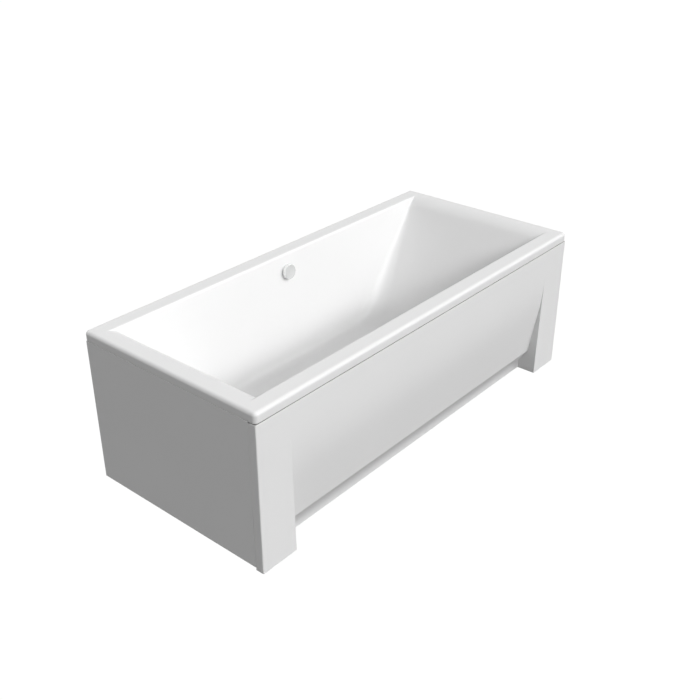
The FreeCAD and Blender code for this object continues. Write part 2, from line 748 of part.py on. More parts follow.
def corner_bolt_holes(y, length):
    """Cutter for the bolt holes through the panels' joining flanges."""
    radius = CORNER_BOLT_RADIUS + SCREW_FIT
    starts = [Vector(CORNER_BOLT_X, y, z) for z in corner_bolt_zs()]
    return Part.makeCompound([rod(radius, length, start, Y_AXIS) for start in starts])


def front_panel():
    """Moulded front panel: two legs, a face that curves in, a plinth, and folded edges behind."""
    hollow = panel_block(PANEL_WALL, PANEL_TOP - PANEL_WALL, -PANEL_WALL)
    panel = panel_block(0.0, PANEL_TOP, PANEL_FLOOR_GAP).cut(hollow)
    flange_y = -HALF_WIDTH + PANEL_FLANGE
    flange_bottom = PANEL_TOP - PANEL_WALL
    panel = panel.cut(block(-HALF_LENGTH, HALF_LENGTH, flange_y, PLINTH_BACK_Y, flange_bottom, PANEL_TOP))
    for side in (-1, 1):
        x0 = side * HALF_LENGTH
        x1 = side * (HALF_LENGTH - PANEL_WALL)
        trim = block(min(x0, x1), max(x0, x1), SEAM_Y, PLINTH_BACK_Y, 0, PANEL_TOP)
        panel = panel.cut(trim)
        x2 = side * (HALF_LENGTH - CORNER_FLANGE)
        fold_y = SEAM_Y - PANEL_WALL
        fold = block(min(x0, x2), max(x0, x2), fold_y, SEAM_Y, PANEL_FLOOR_GAP, flange_bottom)
        panel = panel.fuse(fold)
    return panel.cut(corner_bolt_holes(SEAM_Y - PANEL_WALL, PANEL_WALL)).removeSplitter()


def end_panel():
    """Flat moulded end panel with its four edges folded inwards."""
    x0 = -HALF_LENGTH
    y0 = SEAM_Y + PANEL_SEAM
    y1 = HALF_WIDTH - END_PANEL_WALL_GAP
    z0 = END_PANEL_FLOOR_GAP
    z1 = LIP_BOTTOM - END_PANEL_GAP
    tray = block(x0, x0 + CORNER_FLANGE, y0, y1, z0, z1)
    inside = block(
        x0 + PANEL_WALL,
        x0 + CORNER_FLANGE,
        y0 + PANEL_WALL,
        y1 - PANEL_WALL,
        z0 + PANEL_WALL,
        z1 - PANEL_WALL,
    )
    return tray.cut(inside).cut(corner_bolt_holes(y0, PANEL_WALL))


def corner_bolts():
    """Bolts that join the front panel's return to the end panel."""
    grip = 2 * PANEL_WALL + PANEL_SEAM
    bolts = []
    length = grip + 3 * PANEL_WALL
    for z in corner_bolt_zs():
        start = Vector(CORNER_BOLT_X, SEAM_Y - 2 * PANEL_WALL, z)
        head = rod(CORNER_BOLT_HEAD / 2, PANEL_WALL, start, Y_AXIS)
        bolts.append(head.fuse(rod(CORNER_BOLT_RADIUS, length, start, Y_AXIS)))
    return Part.makeCompound(bolts)


def corner_nuts():
    """Nuts on the corner bolts, inside the end panel."""
    nuts = []
    for z in corner_bolt_zs():
        base = Vector(CORNER_BOLT_X, SEAM_Y + PANEL_SEAM + PANEL_WALL, z)
        ring = hexagon(CORNER_BOLT_HEAD, PANEL_WALL, ORIGIN)
        ring = ring.cut(rod(CORNER_BOLT_RADIUS + RUNNING_FIT, PANEL_WALL))
        ring.Placement = Placement(base, Rotation(X_AXIS, -90))
        nuts.append(ring)
    return Part.makeCompound(nuts)


def clip(panel_top):
    """One folded clip, its tongue towards -Y, its outer reach measured from the panel's face at y = 0."""
    leg_y = PANEL_FLANGE + SEAT_GAP
    top = BATTEN_BOTTOM
    tongue_top = panel_top - PANEL_WALL - SEAT_GAP
    half = CLIP_WIDTH / 2
    foot = block(-half, half, leg_y, leg_y + CLIP_WALL + CLIP_FOOT, top - CLIP_WALL, top)
    leg = block(-half, half, leg_y, leg_y + CLIP_WALL, tongue_top - CLIP_WALL, top)
    tongue = block(-half, half, leg_y - CLIP_TONGUE, leg_y + CLIP_WALL, tongue_top - CLIP_WALL, tongue_top)
    hole = rod(SCREW_RADIUS + SCREW_FIT, CLIP_WALL, Vector(0, CLIP_SCREW_INSET, top - CLIP_WALL))
    return foot.fuse(leg).fuse(tongue).removeSplitter().cut(hole)


def panel_clips_front():
    """Clips that carry the front panel's top flange."""
    pattern = clip(PANEL_TOP)
    clips = []
    for x in front_clip_xs():
        piece = pattern.copy()
        piece.translate(Vector(x, -HALF_WIDTH, 0))
        clips.append(piece)
    return Part.makeCompound(clips)


def panel_clips_left():
    """Clips that carry the end panel's top flange."""
    pattern = clip(LIP_BOTTOM - END_PANEL_GAP)
    clips = []
    for y in end_clip_ys():
        piece = pattern.copy()
        piece.Placement = Placement(Vector(-HALF_LENGTH, y, 0), Rotation(Z_AXIS, -90))
        clips.append(piece)
    return Part.makeCompound(clips)


def clip_screws():
    """Wood screws that hold the clips to the battens."""
    head_z = BATTEN_BOTTOM - CLIP_WALL
    return Part.makeCompound([wood_screw(p, head_z, SCREW_LENGTH) for p in clip_screw_points()])


# ---------------------------------------------------------------- brackets


def plinth_bracket(side):
    """Steel angle under a rail's front end, whose leaf backs the plinth."""
    x = side * RAIL_X
    half = BRACKET_WIDTH / 2
    leaf_y = PLINTH_BACK_Y + SEAT_GAP
    top = RAIL_WEB_BOTTOM
    arm = block(x - half, x + half, leaf_y, -RAIL_HALF + BRACKET_REACH, top - BRACKET_WALL, top)
    leaf = block(x - half, x + half, leaf_y, leaf_y + BRACKET_WALL, BRACKET_FLOOR_GAP, top)
    bolt_y = -RAIL_HALF + BRACKET_REACH / 2
    hole = rod(SCREW_RADIUS + SCREW_FIT, BRACKET_WALL, Vector(x, bolt_y, top - BRACKET_WALL))
    return arm.fuse(leaf).removeSplitter().cut(hole)


def plinth_brackets():
    """Both plinth brackets."""
    return Part.makeCompound([plinth_bracket(side) for side in (-1, 1)])


def bracket_screws():
    """Screws that hold the plinth brackets up into the rails."""
    y = -RAIL_HALF + BRACKET_REACH / 2
    head_z = RAIL_WEB_BOTTOM - BRACKET_WALL
    length = BRACKET_WALL + 2 * RAIL_WALL
    places = [Vector(side * RAIL_X, y, 0) for side in (-1, 1)]
    return Part.makeCompound([wood_screw(p, head_z, length) for p in places])


def wall_hole_zs():
    """Heights of the wall screws' holes."""
    middle = LIP_BOTTOM - SEAT_GAP - WALL_BRACKET_DROP / 2
    return [middle - WALL_HOLE_PITCH / 2, middle + WALL_HOLE_PITCH / 2]


def wall_bracket(side):
    """Folded steel hook: screwed to the wall, with a tab that stands up inside the back lip."""
    x = side * WALL_BRACKET_X
    half = WALL_BRACKET_WIDTH / 2
    wall = WALL_BRACKET_WALL
    step_top = LIP_BOTTOM - SEAT_GAP
    tab_y = HALF_WIDTH - SHELL_WALL - SEAT_GAP
    step_low = step_top - wall
    tab_top = DECK_UNDERSIDE - RIM_EDGE_RADIUS
    plate = block(x - half, x + half, HALF_WIDTH - wall, HALF_WIDTH, step_top - WALL_BRACKET_DROP, step_top)
    step = block(x - half, x + half, tab_y - wall, HALF_WIDTH, step_low, step_top)
    tab = block(x - half, x + half, tab_y - wall, tab_y, step_low, tab_top)
    bracket = plate.fuse(step).fuse(tab).removeSplitter()
    for z in wall_hole_zs():
        bracket = bracket.cut(rod(WALL_HOLE_RADIUS, wall, Vector(x, HALF_WIDTH - wall, z), Y_AXIS))
    return bracket


# ---------------------------------------------------------------- overflow set (in its own frame)

SPINDLE_BORE = SPINDLE_RADIUS + RUNNING_FIT
BODY_FACE = -BACKING_OFFSET - GASKET_THICKNESS
BODY_RADIUS = OVERFLOW_HOLE_RADIUS + OVERFLOW_BODY_WALL
BODY_FLANGE_RADIUS = OVERFLOW_HOLE_RADIUS + GASKET_WIDTH
BODY_BACK = BODY_FACE - OVERFLOW_BODY_DEPTH
DRUM_TOP = BODY_BACK + OVERFLOW_BODY_WALL + SEAT_GAP + DRUM_THICKNESS
HOSE_BORE = HOSE_RADIUS - HOSE_WALL
SPIGOT_RADIUS = HOSE_BORE - LOOSE_FIT
SPIGOT_BORE = SPIGOT_RADIUS - HOSE_WALL / 2
HOSE_DEPTH = BODY_FACE - OVERFLOW_BODY_DEPTH / 2
CABLE_DEPTH = DRUM_TOP - DRUM_THICKNESS / 2
COLLAR_LENGTH = HOSE_NUT_LENGTH / 3
COLLAR_END = BODY_RADIUS + COLLAR_LENGTH
HOSE_START = COLLAR_END + SEAT_GAP
DOWN = Vector(0, -1, 0)


def overflow_face_ring():
    """Ring clamped on the inner face of the wall, with spokes and a hub for the spindle."""
    outer = OVERFLOW_HOLE_RADIUS + FACE_RING_LIP
    inner = OVERFLOW_HOLE_RADIUS - FACE_RING_THICKNESS
    ring = tube(outer, inner, FACE_RING_THICKNESS)
    back = Vector(0, 0, -BACKING_OFFSET)
    spigot = tube(OVERFLOW_HOLE_RADIUS - LOOSE_FIT, inner, BACKING_OFFSET, back)
    hub = rod(2 * SPINDLE_RADIUS, FACE_RING_THICKNESS)
    spokes = [spoke(inner, FACE_RING_THICKNESS, FACE_RING_THICKNESS, angle) for angle in (0, 90)]
    screws = [Vector(side * OVERFLOW_SCREW_CIRCLE, 0, 0) for side in (-1, 1)]
    pads = [rod(SCREW_HEAD_RADIUS, FACE_RING_THICKNESS, base) for base in screws]
    ring = ring.fuse([spigot, hub] + spokes + pads).removeSplitter()
    for base in screws:
        ring = ring.cut(rod(SCREW_RADIUS + SCREW_FIT, FACE_RING_THICKNESS, base))
    return ring.cut(rod(SPINDLE_BORE, FACE_RING_THICKNESS))


def spoke(radius, width, height, angle, base=0.0):
    """Bar across a ring, turned about the Z axis."""
    half = radius + ROOT_DEPTH
    bar = block(-half, half, -width / 2, width / 2, base, base + height)
    bar.rotate(ORIGIN, Z_AXIS, angle)
    return bar


def overflow_knob():
    """Round cap with a rounded rim, hollow behind, on a socket for its spindle."""
    base = Vector(0, 0, KNOB_STAND_OFF)
    inside = KNOB_DEPTH - KNOB_WALL
    cap = rod(KNOB_RADIUS, KNOB_DEPTH, base)
    cap = cap.makeFillet(KNOB_EDGE_RADIUS, edges_at_height(cap, KNOB_STAND_OFF + KNOB_DEPTH))
    hollow = rod(KNOB_RADIUS - KNOB_WALL, inside, base)
    socket = rod(2 * SPINDLE_RADIUS, inside, base)
    knob = cap.cut(hollow).fuse(socket).removeSplitter()
    return knob.cut(rod(SPINDLE_RADIUS, inside, base))


def knob_spindle():
    """Round spindle from the knob back to the cable drum."""
    start = DRUM_TOP - DRUM_THICKNESS
    end = KNOB_STAND_OFF + KNOB_DEPTH - KNOB_WALL
    return rod(SPINDLE_RADIUS, end - start, Vector(0, 0, start))


def cable_drum():
    """Grooved drum that winds the pull cable's wire."""
    base = Vector(0, 0, DRUM_TOP - DRUM_THICKNESS)
    groove = DRUM_THICKNESS / 3
    drum = rod(DRUM_RADIUS, DRUM_THICKNESS, base)
    notch = tube(DRUM_RADIUS, DRUM_RADIUS - groove, groove, base + Vector(0, 0, groove))
    return drum.cut(notch).cut(rod(SPINDLE_RADIUS, DRUM_THICKNESS, base))


def overflow_gasket():
    """Rubber ring between the backing and the overflow body."""
    return tube(BODY_FLANGE_RADIUS, OVERFLOW_HOLE_RADIUS, GASKET_THICKNESS, Vector(0, 0, BODY_FACE))


def overflow_body():
    """Moulded cup behind the wall, with a spigot below for the hose and a ferrule for the cable."""
    wall = OVERFLOW_BODY_WALL
    flange = rod(BODY_FLANGE_RADIUS, wall, Vector(0, 0, BODY_FACE - wall))
    cup = rod(BODY_RADIUS, OVERFLOW_BODY_DEPTH, Vector(0, 0, BODY_BACK))
    collar = rod(HOSE_NUT_RADIUS, COLLAR_END, Vector(0, 0, HOSE_DEPTH), DOWN)
    spigot = rod(SPIGOT_RADIUS, COLLAR_END + SPIGOT_LENGTH, Vector(0, 0, HOSE_DEPTH), DOWN)
    ferrule_start = Vector(CABLE_OFFSET, 0, CABLE_DEPTH)
    ferrule = rod(FERRULE_RADIUS, COLLAR_END + FERRULE_LENGTH, ferrule_start, DOWN)
    body = flange.fuse([cup, collar, spigot, ferrule])
    inside = rod(OVERFLOW_HOLE_RADIUS, OVERFLOW_BODY_DEPTH - wall, Vector(0, 0, BODY_BACK + wall))
    body = body.cut(inside)
    lug_length = BODY_FACE - BODY_BACK
    lug_x = OVERFLOW_HOLE_RADIUS - SCREW_HEAD_RADIUS
    envelope = rod(BODY_RADIUS, lug_length, Vector(0, 0, BODY_BACK))
    lugs = []
    for side in (-1, 1):
        lug = rod(OVERFLOW_LUG_RADIUS, lug_length, Vector(side * lug_x, 0, BODY_BACK))
        lugs.append(lug.common(envelope))
    body = body.fuse(lugs).removeSplitter()
    for side in (-1, 1):
        base = Vector(side * OVERFLOW_SCREW_CIRCLE, 0, BODY_BACK + wall)
        body = body.cut(rod(SCREW_RADIUS + RUNNING_FIT, lug_length, base))
    body = body.cut(rod(SPIGOT_BORE, COLLAR_END + SPIGOT_LENGTH, Vector(0, 0, HOSE_DEPTH), DOWN))
    reach = COLLAR_END + FERRULE_LENGTH
    return body.cut(rod(CABLE_RADIUS, reach, ferrule_start, DOWN))


def overflow_screws():
    """Two screws that clamp the face ring to the body through the wall."""
    length = FACE_RING_THICKNESS - BODY_FACE + SCREW_LENGTH
    screws = []
    for side in (-1, 1):
        top = Vector(side * OVERFLOW_SCREW_CIRCLE, 0, FACE_RING_THICKNESS)
        head = rod(SCREW_HEAD_RADIUS - SEAT_GAP, SCREW_HEAD_HEIGHT, top)
        screws.append(head.fuse(rod(SCREW_RADIUS, length, top - Vector(0, 0, length))))
    return Part.makeCompound(screws)


# ---------------------------------------------------------------- waste set

GASKET_TOP = FLOOR_TOP + FLAT_GASKET_THICKNESS
FLANGE_TOP = GASKET_TOP + WASTE_FLANGE_THICKNESS
BODY_TOP = BOARD_TOP - GASKET_THICKNESS
BODY_BOTTOM = BODY_TOP - WASTE_BODY_DEPTH
TUBE_RADIUS = WASTE_HOLE_RADIUS - LOOSE_FIT
TUBE_BORE = TUBE_RADIUS - WASTE_TUBE_WALL
TUBE_BOTTOM = FLANGE_TOP - WASTE_TUBE_LENGTH
CUP_BORE = WASTE_BODY_RADIUS - WASTE_BODY_WALL
INLET_Z = BODY_TOP - INLET_DROP
OUTLET_Z = INLET_Z - OUTLET_DROP
PIN_Z = BODY_TOP - LEVER_HANG
PIN_Y = LEVER_ARM
PLUG_BOTTOM = FLANGE_TOP + SEAT_GAP + SEAL_THICKNESS
PIPE_BORE = PIPE_RADIUS - PIPE_WALL
HOSE_COLLAR_Y = WASTE_BODY_RADIUS + COLLAR_LENGTH
HOSE_END_Y = HOSE_COLLAR_Y + SEAT_GAP
CABLE_Z = BODY_TOP - CABLE_HANG
LEVER_TILT = math.asin(PLUG_TRAVEL / 2 / LEVER_ARM)
NOSE_Z = PIN_Z - LEVER_ARM * math.sin(LEVER_TILT)
STEM_BOTTOM = NOSE_Z + LEVER_NOSE_RADIUS + SEAT_GAP
CUP_OUTLET_X = WASTE_BODY_RADIUS + PIPE_NUT_LENGTH / 2 + PIPE_NUT_CLEARANCE
TRAP_INLET_X = CUP_OUTLET_X + SEAT_GAP


def waste_flange():
    """Strainer ring in the floor: flat rim, tube, spokes and a hub that guides the plug's stem."""
    base = Vector(0, 0, TUBE_BOTTOM)
    height = WASTE_SPOKE_HEIGHT
    rim = tube(WASTE_FLANGE_RADIUS, TUBE_BORE, WASTE_FLANGE_THICKNESS, Vector(0, 0, GASKET_TOP))
    neck = tube(TUBE_RADIUS, TUBE_BORE, WASTE_TUBE_LENGTH, base)
    hub = rod(WASTE_HUB_RADIUS, height, base)
    spokes = [spoke(TUBE_BORE, WASTE_SPOKE_WIDTH, height, angle, TUBE_BOTTOM) for angle in (0, 60, 120)]
    flange = rim.fuse([neck, hub] + spokes).removeSplitter()
    return flange.cut(rod(PLUG_STEM_RADIUS + RUNNING_FIT, height, base))


def waste_plug():
    """Plug: low domed cap, a boss under it for the seal, and a stem with a foot."""
    dome_radius = (PLUG_RADIUS**2 + PLUG_RISE**2) / (2 * PLUG_RISE)
    cap = rod(PLUG_RADIUS, 2 * PLUG_RISE, Vector(0, 0, PLUG_BOTTOM))
    crown = PLUG_BOTTOM + PLUG_EDGE + PLUG_RISE
    dome = Part.makeSphere(dome_radius, Vector(0, 0, crown - dome_radius))
    cap = cap.common(dome)
    stem = rod(PLUG_STEM_RADIUS, PLUG_BOTTOM - STEM_BOTTOM, Vector(0, 0, STEM_BOTTOM))
    foot = rod(PLUG_FOOT_RADIUS, PLUG_FOOT_HEIGHT, Vector(0, 0, STEM_BOTTOM))
    return cap.fuse([stem, foot]).removeSplitter()


def plug_seal():
    """Rubber ring under the plug's cap."""
    outer = WASTE_FLANGE_RADIUS - 2 * SEAL_THICKNESS
    return tube(outer, PLUG_SKIRT_RADIUS, SEAL_THICKNESS, Vector(0, 0, PLUG_BOTTOM - SEAL_THICKNESS))


def waste_gasket_upper():
    """Thin rubber ring between the flange and the acrylic floor."""
    outer = WASTE_FLANGE_RADIUS - FLAT_GASKET_INSET
    return tube(outer, WASTE_HOLE_RADIUS, FLAT_GASKET_THICKNESS, Vector(0, 0, FLOOR_TOP))


def waste_gasket_lower():
    """Rubber ring between the backing and the waste body."""
    return tube(WASTE_BODY_FLANGE_RADIUS, WASTE_HOLE_RADIUS, GASKET_THICKNESS, Vector(0, 0, BODY_TOP))


def waste_body():
    """Moulded cup under the floor with a hose inlet, a cable ferrule, an outlet and lugs for the lever."""
    flange = rod(WASTE_BODY_FLANGE_RADIUS, WASTE_BODY_FLANGE, Vector(0, 0, BODY_TOP - WASTE_BODY_FLANGE))
    cup = rod(WASTE_BODY_RADIUS, WASTE_BODY_DEPTH, Vector(0, 0, BODY_BOTTOM))
    inlet_base = Vector(0, 0, INLET_Z)
    collar = rod(HOSE_NUT_RADIUS, HOSE_COLLAR_Y, inlet_base, Y_AXIS)
    spigot = rod(SPIGOT_RADIUS, HOSE_COLLAR_Y + SPIGOT_LENGTH, inlet_base, Y_AXIS)
    cable_base = Vector(0, 0, CABLE_Z)
    ferrule = rod(FERRULE_RADIUS, HOSE_COLLAR_Y + FERRULE_LENGTH, cable_base, Y_AXIS)
    outlet = rod(PIPE_RADIUS, CUP_OUTLET_X, inlet_base, -X_AXIS)
    body = flange.fuse([cup, collar, spigot, ferrule, outlet])
    cup_height = WASTE_BODY_DEPTH - WASTE_BODY_WALL - WASTE_NECK_HEIGHT
    inside = rod(CUP_BORE, cup_height, Vector(0, 0, BODY_BOTTOM + WASTE_BODY_WALL))
    neck = rod(WASTE_HOLE_RADIUS, WASTE_BODY_DEPTH, Vector(0, 0, BODY_TOP - WASTE_NECK_HEIGHT))
    body = body.cut(inside).cut(neck)
    lug_x = LEVER_WIDTH / 2 + SEAT_GAP
    lug_y = PIN_Y - LEVER_BOSS_RADIUS
    lug_low = PIN_Z - 2 * LEVER_BOSS_RADIUS
    lug_high = PIN_Z + LEVER_BOSS_RADIUS
    root = CUP_BORE + ROOT_DEPTH
    envelope = rod(root, WASTE_BODY_DEPTH, Vector(0, 0, BODY_BOTTOM))
    lugs = []
    for side in (-1, 1):
        x0 = side * lug_x
        x1 = side * (lug_x + LUG_THICKNESS)
        lug = block(min(x0, x1), max(x0, x1), lug_y, root, lug_low, lug_high)
        lugs.append(lug.common(envelope))
    body = body.fuse(lugs).removeSplitter()
    hose_bore_base = inlet_base + Y_AXIS * CUP_BORE
    body = body.cut(rod(SPIGOT_BORE, HOSE_COLLAR_Y + SPIGOT_LENGTH, hose_bore_base, Y_AXIS))
    body = body.cut(rod(PIPE_BORE, CUP_OUTLET_X, inlet_base, -X_AXIS))
    body = body.cut(rod(CABLE_RADIUS, HOSE_COLLAR_Y + FERRULE_LENGTH, cable_base, Y_AXIS))
    pin_half = lug_x + LUG_THICKNESS
    return body.cut(rod(LEVER_PIN_RADIUS, 2 * pin_half, Vector(-pin_half, PIN_Y, PIN_Z), X_AXIS))


def plug_lever():
    """Rocking lever: its nose lifts the plug's foot, its tail is pulled by the cable."""
    half = LEVER_WIDTH / 2
    boss = rod(LEVER_BOSS_RADIUS, LEVER_WIDTH, Vector(-half, 0, 0), X_AXIS)
    nose = rod(LEVER_NOSE_RADIUS, LEVER_WIDTH, Vector(-half, -LEVER_ARM, 0), X_AXIS)
    arm = block(-half, half, -LEVER_ARM, 0, -LEVER_TAIL_WIDTH / 2, LEVER_TAIL_WIDTH / 2)
    tail = block(-half, half, -LEVER_TAIL_WIDTH / 2, LEVER_TAIL_WIDTH / 2, 0, LEVER_TAIL)
    tip = rod(LEVER_TAIL_WIDTH / 2, LEVER_WIDTH, Vector(-half, 0, LEVER_TAIL), X_AXIS)
    lever = boss.fuse([nose, arm, tail, tip]).removeSplitter()
    lever = lever.cut(rod(LEVER_PIN_RADIUS + RUNNING_FIT, LEVER_WIDTH, Vector(-half, 0, 0), X_AXIS))
    lever.Placement = Placement(Vector(0, PIN_Y, PIN_Z), Rotation(X_AXIS, math.degrees(LEVER_TILT)))
    return lever


def lever_pin():
    """Steel pin that the lever rocks on."""
    half = LEVER_WIDTH / 2 + SEAT_GAP + LUG_THICKNESS
    return rod(LEVER_PIN_RADIUS, 2 * half, Vector(-half, PIN_Y, PIN_Z), X_AXIS)


def overflow_point(x, along_wall, depth):
    """Point of the overflow's own frame, in the tub's frame."""
    return OVERFLOW.multVec(Vector(x, along_wall, depth))


def falling_route(start, z):
    """Start and turning point of a run that falls beside the back wall to one height."""
    along = OVERFLOW.Rotation.multVec(DOWN)
    return [start, start + along * ((z - start.z) / along.z)]


def overflow_hose():
    """Flexible hose from the overflow body to the waste body."""
    route = falling_route(overflow_point(0, -HOSE_START, HOSE_DEPTH), INLET_Z)
    path = bent_path(route + [Vector(0, HOSE_END_Y, INLET_Z)], HOSE_BEND_RADIUS)
    return swept_rod(path, HOSE_RADIUS).cut(swept_rod(path, HOSE_BORE))


def bowden_cable():
    """Sheathed pull cable from the knob's drum to the lever."""
    start = overflow_point(CABLE_OFFSET, -COLLAR_END, CABLE_DEPTH)
    approach = Vector(0, HOSE_COLLAR_Y + FERRULE_LENGTH + CABLE_LEAD, CABLE_Z)
    end = Vector(0, HOSE_COLLAR_Y, CABLE_Z)
    route = falling_route(start, CABLE_Z) + [approach, end]
    return swept_rod(bent_path(route, CABLE_BEND_RADIUS), CABLE_RADIUS - LOOSE_FIT)


def hose_nut():
    """Ribbed nut round the end of the hose, standing on the XY plane."""
    ring = tube(HOSE_NUT_RADIUS, HOSE_RADIUS + LOOSE_FIT, HOSE_NUT_LENGTH)
    return ribbed(ring, HOSE_NUT_RADIUS, HOSE_NUT_LENGTH, HOSE_NUT_GROOVES)


def ribbed(ring, radius, length, count):
    """Ring with upright grip grooves round its outside."""
    grooves = []
    for k in range(count):
        angle = 2 * math.pi * k / count
        base = Vector(radius * math.cos(angle), radius * math.sin(angle), length * SHOULDER_SHARE)
        grooves.append(rod(radius * GROOVE_SHARE, length, base))
    return ring.cut(Part.makeCompound(grooves))


def hose_nut_upper():
    """Nut that holds the hose on the overflow body's spigot."""
    piece = hose_nut()
    piece.Placement = Placement(Vector(0, -HOSE_START, HOSE_DEPTH), Rotation(X_AXIS, 90))
    return on_overflow(piece)


def hose_nut_lower():
    """Nut that holds the hose on the waste body's spigot."""
    piece = hose_nut()
    piece.Placement = Placement(Vector(0, HOSE_END_Y, INLET_Z), Rotation(X_AXIS, -90))
    return piece


# ---------------------------------------------------------------- trap and outlet

TRAP_TOP = BOARD_BOTTOM - TRAP_TO_BOARD
TRAP_HEIGHT = TRAP_TOP - TRAP_BASE_HEIGHT
TRAP_CENTRE = Vector(-TRAP_OFFSET, 0, 0)
OUTLET_STUB_Y = TRAP_RADIUS + PIPE_NUT_LENGTH / 2 + PIPE_NUT_CLEARANCE


def trap_bowl():
    """Shallow trap: a cup with a side inlet and a side outlet."""
    base = TRAP_CENTRE + Vector(0, 0, TRAP_BASE_HEIGHT)
    bowl = rod(TRAP_RADIUS, TRAP_HEIGHT, base)
    bowl = bowl.makeFillet(TRAP_WALL, edges_at_height(bowl, TRAP_BASE_HEIGHT))
    inlet_base = TRAP_CENTRE + Vector(0, 0, INLET_Z)
    outlet_base = TRAP_CENTRE + Vector(0, 0, OUTLET_Z)
    inlet = rod(PIPE_RADIUS, TRAP_OFFSET - TRAP_INLET_X, inlet_base, X_AXIS)
    outlet = rod(PIPE_RADIUS, OUTLET_STUB_Y, outlet_base, Y_AXIS)
    bowl = bowl.fuse([inlet, outlet])
    bowl = bowl.cut(rod(TRAP_RADIUS - TRAP_WALL, TRAP_HEIGHT, base + Vector(0, 0, TRAP_WALL)))
    bowl = bowl.cut(rod(PIPE_BORE, TRAP_OFFSET, inlet_base, X_AXIS))
    return bowl.cut(rod(PIPE_BORE, OUTLET_STUB_Y, outlet_base, Y_AXIS))


def trap_cap():
    """Screwed lid of the trap, with grip grooves."""
    radius = TRAP_RADIUS + TRAP_WALL / 2
    lid = ribbed(rod(radius, TRAP_CAP_HEIGHT), radius, TRAP_CAP_HEIGHT, TRAP_CAP_GROOVES)
    plug = rod(TRAP_RADIUS - TRAP_WALL - LOOSE_FIT, TRAP_WALL, Vector(0, 0, -TRAP_WALL))
    lid = lid.fuse(plug).removeSplitter()
    lid.translate(TRAP_CENTRE + Vector(0, 0, TRAP_TOP))
    return lid


def pipe_nut():
    """Ribbed union nut for the waste pipe, standing on the XY plane."""
    ring = tube(PIPE_NUT_RADIUS, PIPE_RADIUS + LOOSE_FIT, PIPE_NUT_LENGTH)
    return ribbed(ring, PIPE_NUT_RADIUS, PIPE_NUT_LENGTH, PIPE_NUT_GROOVES)


def trap_inlet_nut():
    """Nut that joins the waste body's outlet to the trap."""
    middle = -(CUP_OUTLET_X + TRAP_INLET_X) / 2
    piece = pipe_nut()
    base = Vector(middle - PIPE_NUT_LENGTH / 2, 0, INLET_Z)
    piece.Placement = Placement(base, Rotation(Y_AXIS, 90))
    return piece


def trap_outlet_nut():
    """Nut that joins the trap to the outlet pipe."""
    start = OUTLET_STUB_Y + SEAT_GAP / 2 - PIPE_NUT_LENGTH / 2
    piece = pipe_nut()
    piece.Placement = Placement(Vector(-TRAP_OFFSET, start, OUTLET_Z), Rotation(X_AXIS, -90))
    return piece


def outlet_pipe():
    """Straight pipe from the trap towards the wall, with a bead behind the nut and a free end."""
    start = OUTLET_STUB_Y + SEAT_GAP
    end = HALF_WIDTH - OUTLET_END_GAP
    bead_y = OUTLET_STUB_Y + PIPE_NUT_LENGTH / 2 + 2 * SEAT_GAP
    bead = rod(PIPE_BEAD_RADIUS, PIPE_BEAD_WIDTH, Vector(-TRAP_OFFSET, bead_y, OUTLET_Z), Y_AXIS)
    base = Vector(-TRAP_OFFSET, start, OUTLET_Z)
    pipe = rod(PIPE_RADIUS, end - start, base, Y_AXIS).fuse(bead)
    return pipe.cut(rod(PIPE_BORE, end - start, base, Y_AXIS))


# ---------------------------------------------------------------- build

NODES = {
    "bath_shell": bath_shell,
    "glass_fibre_backing": glass_fibre_backing,
    "base_board": base_board,
    "rim_batten_front": lambda: long_batten(-1),
    "rim_batten_back": lambda: long_batten(1),
    "rim_batten_left": lambda: end_batten(-1),
    "rim_batten_right": lambda: end_batten(1),
    "cradle_rail_left": lambda: cradle_rail(-1),
    "cradle_rail_right": lambda: cradle_rail(1),
    "rail_screws": rail_screws,
    "thread_nuts": thread_nuts,
    "lock_nuts": lock_nuts,
    "front_panel": front_panel,
    "end_panel": end_panel,
    "corner_bolts": corner_bolts,
    "corner_nuts": corner_nuts,
    "panel_clips_front": panel_clips_front,
    "panel_clips_left": panel_clips_left,
    "clip_screws": clip_screws,
    "plinth_brackets": plinth_brackets,
    "bracket_screws": bracket_screws,
    "wall_bracket_left": lambda: wall_bracket(-1),
    "wall_bracket_right": lambda: wall_bracket(1),
    "overflow_face_ring": lambda: on_overflow(overflow_face_ring()),
    "overflow_knob": lambda: on_overflow(overflow_knob()),
    "knob_spindle": lambda: on_overflow(knob_spindle()),
    "cable_drum": lambda: on_overflow(cable_drum()),
    "overflow_gasket": lambda: on_overflow(overflow_gasket()),
    "overflow_body": lambda: on_overflow(overflow_body()),
    "overflow_screws": lambda: on_overflow(overflow_screws()),
    "overflow_hose": overflow_hose,
    "hose_nut_upper": hose_nut_upper,
    "hose_nut_lower": hose_nut_lower,
    "bowden_cable": bowden_cable,
    "waste_flange": waste_flange,
    "waste_plug": waste_plug,
    "plug_seal": plug_seal,
    "waste_gasket_upper": waste_gasket_upper,
    "waste_gasket_lower": waste_gasket_lower,
    "waste_body": waste_body,
    "plug_lever": plug_lever,
    "lever_pin": lever_pin,
    "trap_bowl": trap_bowl,
    "trap_cap": trap_cap,
    "trap_inlet_nut": trap_inlet_nut,
    "trap_outlet_nut": trap_outlet_nut,
    "outlet_pipe": outlet_pipe,
}

for name, make in NODES.items():
    save(name, make())
for name, foot in foot_points():
    save(f"foot_pad_{name}", foot_pad(foot))
    save(f"foot_stud_{name}", foot_stud(foot))
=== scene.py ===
"""Looks of a straight white bathtub with a moulded front panel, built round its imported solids.

Everything is in metres, in the frame of the solids: +X along the tub, +Y towards
the wall behind it, +Z up, with the origin on the floor under the middle of the tub.
"""

from __future__ import annotations

import json
import logging
import math
from dataclasses import dataclass, field
from enum import Enum
from functools import partial
from typing import Callable, Sequence

import bmesh
import bpy
import numpy as np
from mathutils import Matrix, Vector

